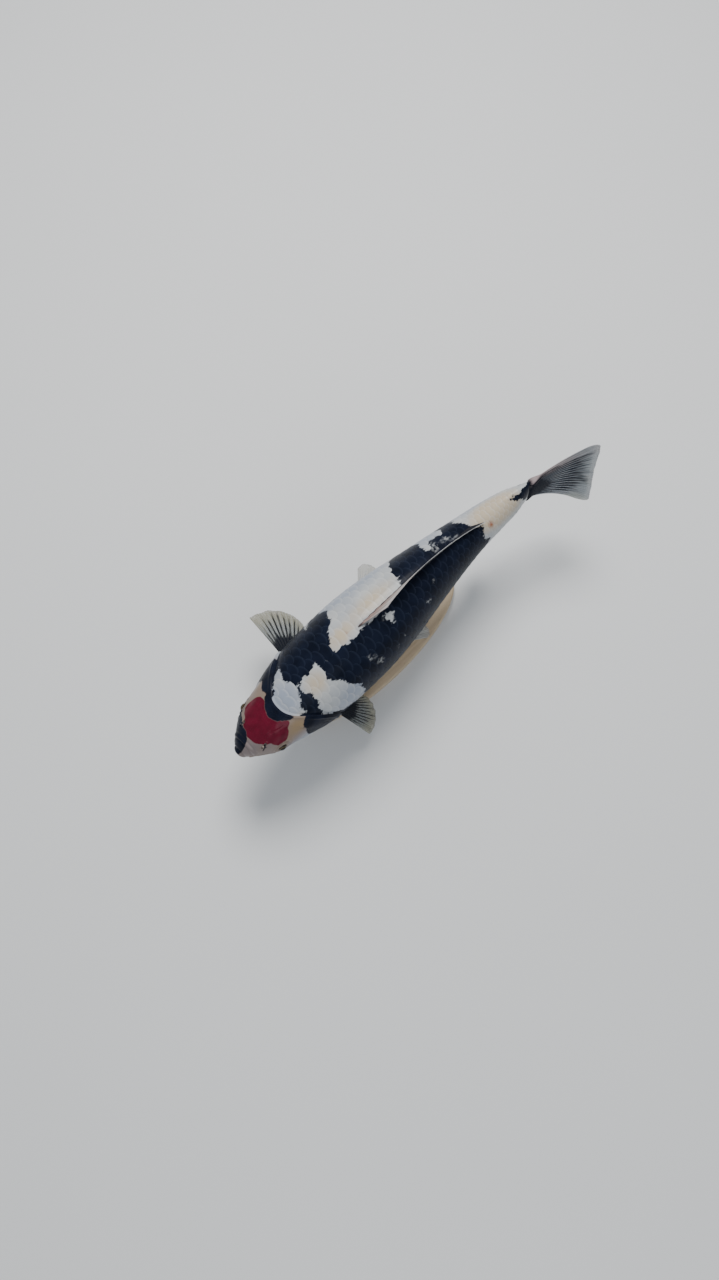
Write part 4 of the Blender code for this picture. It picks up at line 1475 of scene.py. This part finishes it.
def build_stand_base(material):
    """An oval plate of pale wood with a rounded upper edge and a shadow gap under it."""
    low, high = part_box("stand_base")
    height = high[2] - low[2]
    x, y, _ = world(BASE_ALONG, 0.0, 0.0)
    bm = bmesh.new()
    bmesh.ops.create_cone(bm, cap_ends=True, segments=160, radius1=1.0, radius2=1.0, depth=1.0)
    bmesh.ops.scale(bm, vec=(*BASE_HALVES, height), verts=bm.verts)
    for level, offset, segments in ((1, 0.003, 6), (-1, 0.001, 2)):
        rim = {vert for vert in bm.verts if abs(vert.co.z - level * height / 2) < 1e-6}
        edges = [edge for edge in bm.edges if rim.issuperset(edge.verts)]
        bmesh.ops.bevel(bm, geom=edges, offset=offset, segments=segments, **BEVEL)
    turn = Matrix.Rotation(-HEAD_TURN, 4, "Z")
    shift = Matrix.Translation((x, y, height / 2))
    bmesh.ops.transform(bm, matrix=shift @ turn, verts=bm.verts)
    finished("stand_base_oval", bm, material, ("stand_base",), sharp=28.0)


def build_stand_rod(node, material):
    """A turned rod: a collar on the base, the shaft and a small cup under the belly."""
    low, high = (Vector(corner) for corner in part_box(node))
    middle = box_middle(node)
    radius = (high.x - low.x) / 2
    collar = (0.0, 0.0), (0.0078, 0.0), (0.0082, 0.0004), (0.0082, 0.002), (0.0076, 0.0026)
    foot = (radius + 0.0006, 0.0032), (radius, 0.0042)
    neck = (radius, -0.007), (radius + 0.0008, -0.0062)
    cup = (0.0058, -0.004), (0.0062, -0.003), (0.0062, -0.0016), (0.0056, -0.0008), (0.0, -0.0006)
    bm = bmesh.new()
    profile = [(reach, low.z + up) for reach, up in collar + foot]
    profile += [(reach, high.z + up) for reach, up in neck + cup]
    line = [bm.verts.new((reach, 0.0, height)) for reach, height in profile]
    line += [bm.edges.new(pair) for pair in zip(line, line[1:])]
    turned = {"cent": (0, 0, 0), "axis": (0, 0, 1), "angle": math.tau, "steps": 48}
    bmesh.ops.spin(bm, geom=line, use_merge=True, **turned)
    bmesh.ops.remove_doubles(bm, verts=bm.verts, dist=1e-7)
    bmesh.ops.translate(bm, vec=(middle.x, middle.y, 0.0), verts=bm.verts)
    finished(node + "_turned", bm, material, (node,), sharp=40.0)


def wood_material(settings):
    """Pale maple: long straight grain, faint arches and pores under a satin oil."""
    paint = Paint("pale_maple", Roughness=0.42, Coat_Weight=0.12, Coat_Roughness=0.25)
    place = paint.mapped(paint.place(), (1, 1, 1), (0.0171, -0.0584, 0.0), -HEAD_TURN)
    wander = paint.noise(paint.mapped(place, (0.05, 0.3, 0.05)), 1.0)
    x, y, _ = paint.split(place)
    arches = (x * 520.0 + wander * 34.0 + y * y * 260.0).sine() * 0.5 + 0.5
    fibres = paint.noise(paint.mapped(place, (0.0009, 0.03, 0.0009)), 1.0, 3.0, 0.7)
    pores = paint.noise(paint.mapped(place, (0.0004, 0.005, 0.0004)), 1.0, 1.0).step(0.62, 0.72)
    colour = paint.over(
        settings.wood,
        (arches * 0.45, shade(settings.wood, 0.72)),
        (fibres.step(0.35, 0.75) * 0.45, (0.5, 0.36, 0.22)),
        (pores * 0.35, (0.22, 0.14, 0.08)),
    )
    return paint.show(
        Base_Color=colour,
        Roughness=0.36 + fibres * 0.16,
        Normal=paint.bump(fibres * 0.6 - pores * 0.6 + arches * 0.2, 0.0001, 0.5),
    )


def steel_material(settings):
    """Brushed stainless steel, its fine lines running round the rod."""
    paint = Paint("brushed_steel", Metallic=1.0, Roughness=0.28)
    lines = paint.noise(paint.mapped(paint.place(), (0.02, 0.02, 0.00018)), 1.0, 2.0, 0.6)
    haze = paint.noise(paint.place(), 140.0)
    return paint.show(
        Base_Color=paint.blend(haze.step(0.35, 0.7) * 0.4, settings.steel, (0.44, 0.45, 0.46)),
        Roughness=0.2 + lines * 0.16 + haze * 0.06,
        Normal=paint.bump(lines, 0.00004, 0.6),
    )


def floor_material(settings):
    """A plain matt studio floor with the faintest unevenness."""
    paint = Paint("studio_floor", Roughness=0.7, Specular_IOR_Level=0.3)
    haze = paint.noise(paint.place(), 3.0)
    return paint.show(Base_Color=paint.blend(haze, settings.floor, shade(settings.floor, 0.97)))


# --- The stage ---

CAMERA_TURN = math.radians(47.65)
CAMERA_FAR = 1.25
CAMERA_TARGET = Vector((-0.003958, 0.20578, 0.14)) + Vector(SHIFT)
CAMERA_LENS, SENSOR_WIDTH = 28.1, 36.0
FLOOR_HALF = 4.0
LIGHT_TARGET = Vector((0.0, 0.0, 0.12))


def build_camera(elevation):
    """A portrait camera high over the fish's right side, the head at the lower left."""
    turn = Matrix.Rotation(CAMERA_TURN, 4, "Z") @ Matrix.Rotation(math.pi / 2 - elevation, 4, "X")
    data = bpy.data.cameras.new("camera")
    data.sensor_width, data.lens = SENSOR_WIDTH, CAMERA_LENS
    data.clip_start = 0.01
    camera = placed("camera", data)
    camera.matrix_world = Matrix.Translation(CAMERA_TARGET + turn.col[2].xyz * CAMERA_FAR) @ turn
    bpy.context.scene.camera = camera


def build_floor(settings):
    bm = bmesh.new()
    bmesh.ops.create_grid(bm, x_segments=8, y_segments=8, size=FLOOR_HALF)
    placed("floor", mesh_of("floor", bm, floor_material(settings)))


def build_lights():
    """A broad soft light from above and behind, a gentle fill and an even pale surround."""
    for name, place, size, power, colour in (
        ("key", (-0.8, 0.7, 2.2), 1.2, 62.0, (1.0, 0.985, 0.96)),
        ("fill", (1.6, -1.2, 1.4), 1.8, 14.0, (0.94, 0.97, 1.0)),
    ):
        data = bpy.data.lights.new(name, "AREA")
        data.shape = "DISK"
        data.size = size
        data.energy = power
        data.color = colour
        turn = (LIGHT_TARGET - Vector(place)).to_track_quat("-Z", "Y").to_matrix().to_4x4()
        placed(name, data).matrix_world = Matrix.Translation(place) @ turn
    studio = bpy.data.worlds.new("studio")
    studio.use_nodes = True
    sky = studio.node_tree.nodes["Background"]
    sky.inputs["Color"].default_value = (0.9, 0.95, 1.0, 1.0)
    sky.inputs["Strength"].default_value = 0.42
    bpy.context.scene.world = studio


# --- The add-on ---


class KOI_OT_camera(bpy.types.Operator):
    """Puts the camera high over the fish's right side"""

    bl_idname = "koi.camera"
    bl_label = "Camera"

    def execute(self, context):
        build_camera(context.scene.koi_stage.camera_height)
        return {"FINISHED"}


class KOI_OT_skin(bpy.types.Operator):
    """Builds the one skin over the head, trunk, tail and gill covers"""

    bl_idname = "koi.skin"
    bl_label = "Skin"

    def execute(self, context):
        build_skin(context.scene.koi_skin)
        return {"FINISHED"}


class KOI_OT_scales(bpy.types.Operator):
    """Lays the scales over the skin, from the gills to the tail"""

    bl_idname = "koi.scales"
    bl_label = "Scales"

    def execute(self, context):
        material = scale_material(context.scene.koi_skin)
        for side in SIDES:
            build_scales(side, context.scene.koi_scales, material)
        return {"FINISHED"}


class KOI_OT_fins(bpy.types.Operator):
    """Builds the fins round their rays"""

    bl_idname = "koi.fins"
    bl_label = "Fins"

    def execute(self, context):
        build_fins(context.scene.koi_fins, context.scene.koi_skin)
        return {"FINISHED"}


class KOI_OT_eyes(bpy.types.Operator):
    """Builds the two eyeballs"""

    bl_idname = "koi.eyes"
    bl_label = "Eyes"

    def execute(self, context):
        material = eye_material(context.scene.koi_eyes)
        for side in SIDES:
            build_eye(side, material)
        return {"FINISHED"}


class KOI_OT_face(bpy.types.Operator):
    """Builds the feelers round the mouth and the flaps at the nostrils"""

    bl_idname = "koi.face"
    bl_label = "Feelers and nostrils"

    def execute(self, context):
        for side in SIDES:
            material = soft_material(side)
            build_barbels(side, material)
            build_nostril_flap(side, material)
        return {"FINISHED"}


class KOI_OT_stand(bpy.types.Operator):
    """Builds the wooden base and the two steel rods"""

    bl_idname = "koi.stand"
    bl_label = "Display stand"

    def execute(self, context):
        settings = context.scene.koi_stage
        build_stand_base(wood_material(settings))
        steel = steel_material(settings)
        for node in ("stand_rod_front", "stand_rod_rear"):
            build_stand_rod(node, steel)
        return {"FINISHED"}


class KOI_OT_stage(bpy.types.Operator):
    """Adds the floor and the lights"""

    bl_idname = "koi.stage"
    bl_label = "Floor and lights"

    def execute(self, context):
        build_floor(context.scene.koi_stage)
        build_lights()
        return {"FINISHED"}


class KOI_PT_panel(bpy.types.Panel):
    """Lists the koi's pieces and their sizes and colours"""

    bl_idname = "KOI_PT_panel"
    bl_label = "Koi carp"
    bl_space_type = "VIEW_3D"
    bl_region_type = "UI"
    bl_category = "Koi"

    def draw(self, context):
        scene = context.scene
        for operator in OPERATORS:
            self.layout.operator(operator.bl_idname)
        for name in SETTINGS:
            box = self.layout.box()
            group = getattr(scene, name)
            for key in group.bl_rna.properties.keys():
                if key not in ("rna_type", "name"):
                    box.prop(group, key)


SETTINGS = {
    "koi_skin": KoiSkinSettings,
    "koi_scales": KoiScaleSettings,
    "koi_fins": KoiFinSettings,
    "koi_eyes": KoiEyeSettings,
    "koi_stage": KoiStandSettings,
}
OPERATORS = (
    KOI_OT_camera,
    KOI_OT_skin,
    KOI_OT_scales,
    KOI_OT_fins,
    KOI_OT_eyes,
    KOI_OT_face,
    KOI_OT_stand,
    KOI_OT_stage,
)


def register():
    for group in SETTINGS.values():
        bpy.utils.register_class(group)
    for name, group in SETTINGS.items():
        setattr(bpy.types.Scene, name, PointerProperty(type=group))
    for operator in OPERATORS:
        bpy.utils.register_class(operator)
    bpy.utils.register_class(KOI_PT_panel)


def unregister():
    bpy.utils.unregister_class(KOI_PT_panel)
    for operator in reversed(OPERATORS):
        bpy.utils.unregister_class(operator)
    for name, group in SETTINGS.items():
        delattr(bpy.types.Scene, name)
        bpy.utils.unregister_class(group)


def main():
    register()
    for operator in OPERATORS:
        getattr(bpy.ops.koi, operator.bl_idname.split(".")[1])()


if __name__ == "__main__":
    main()
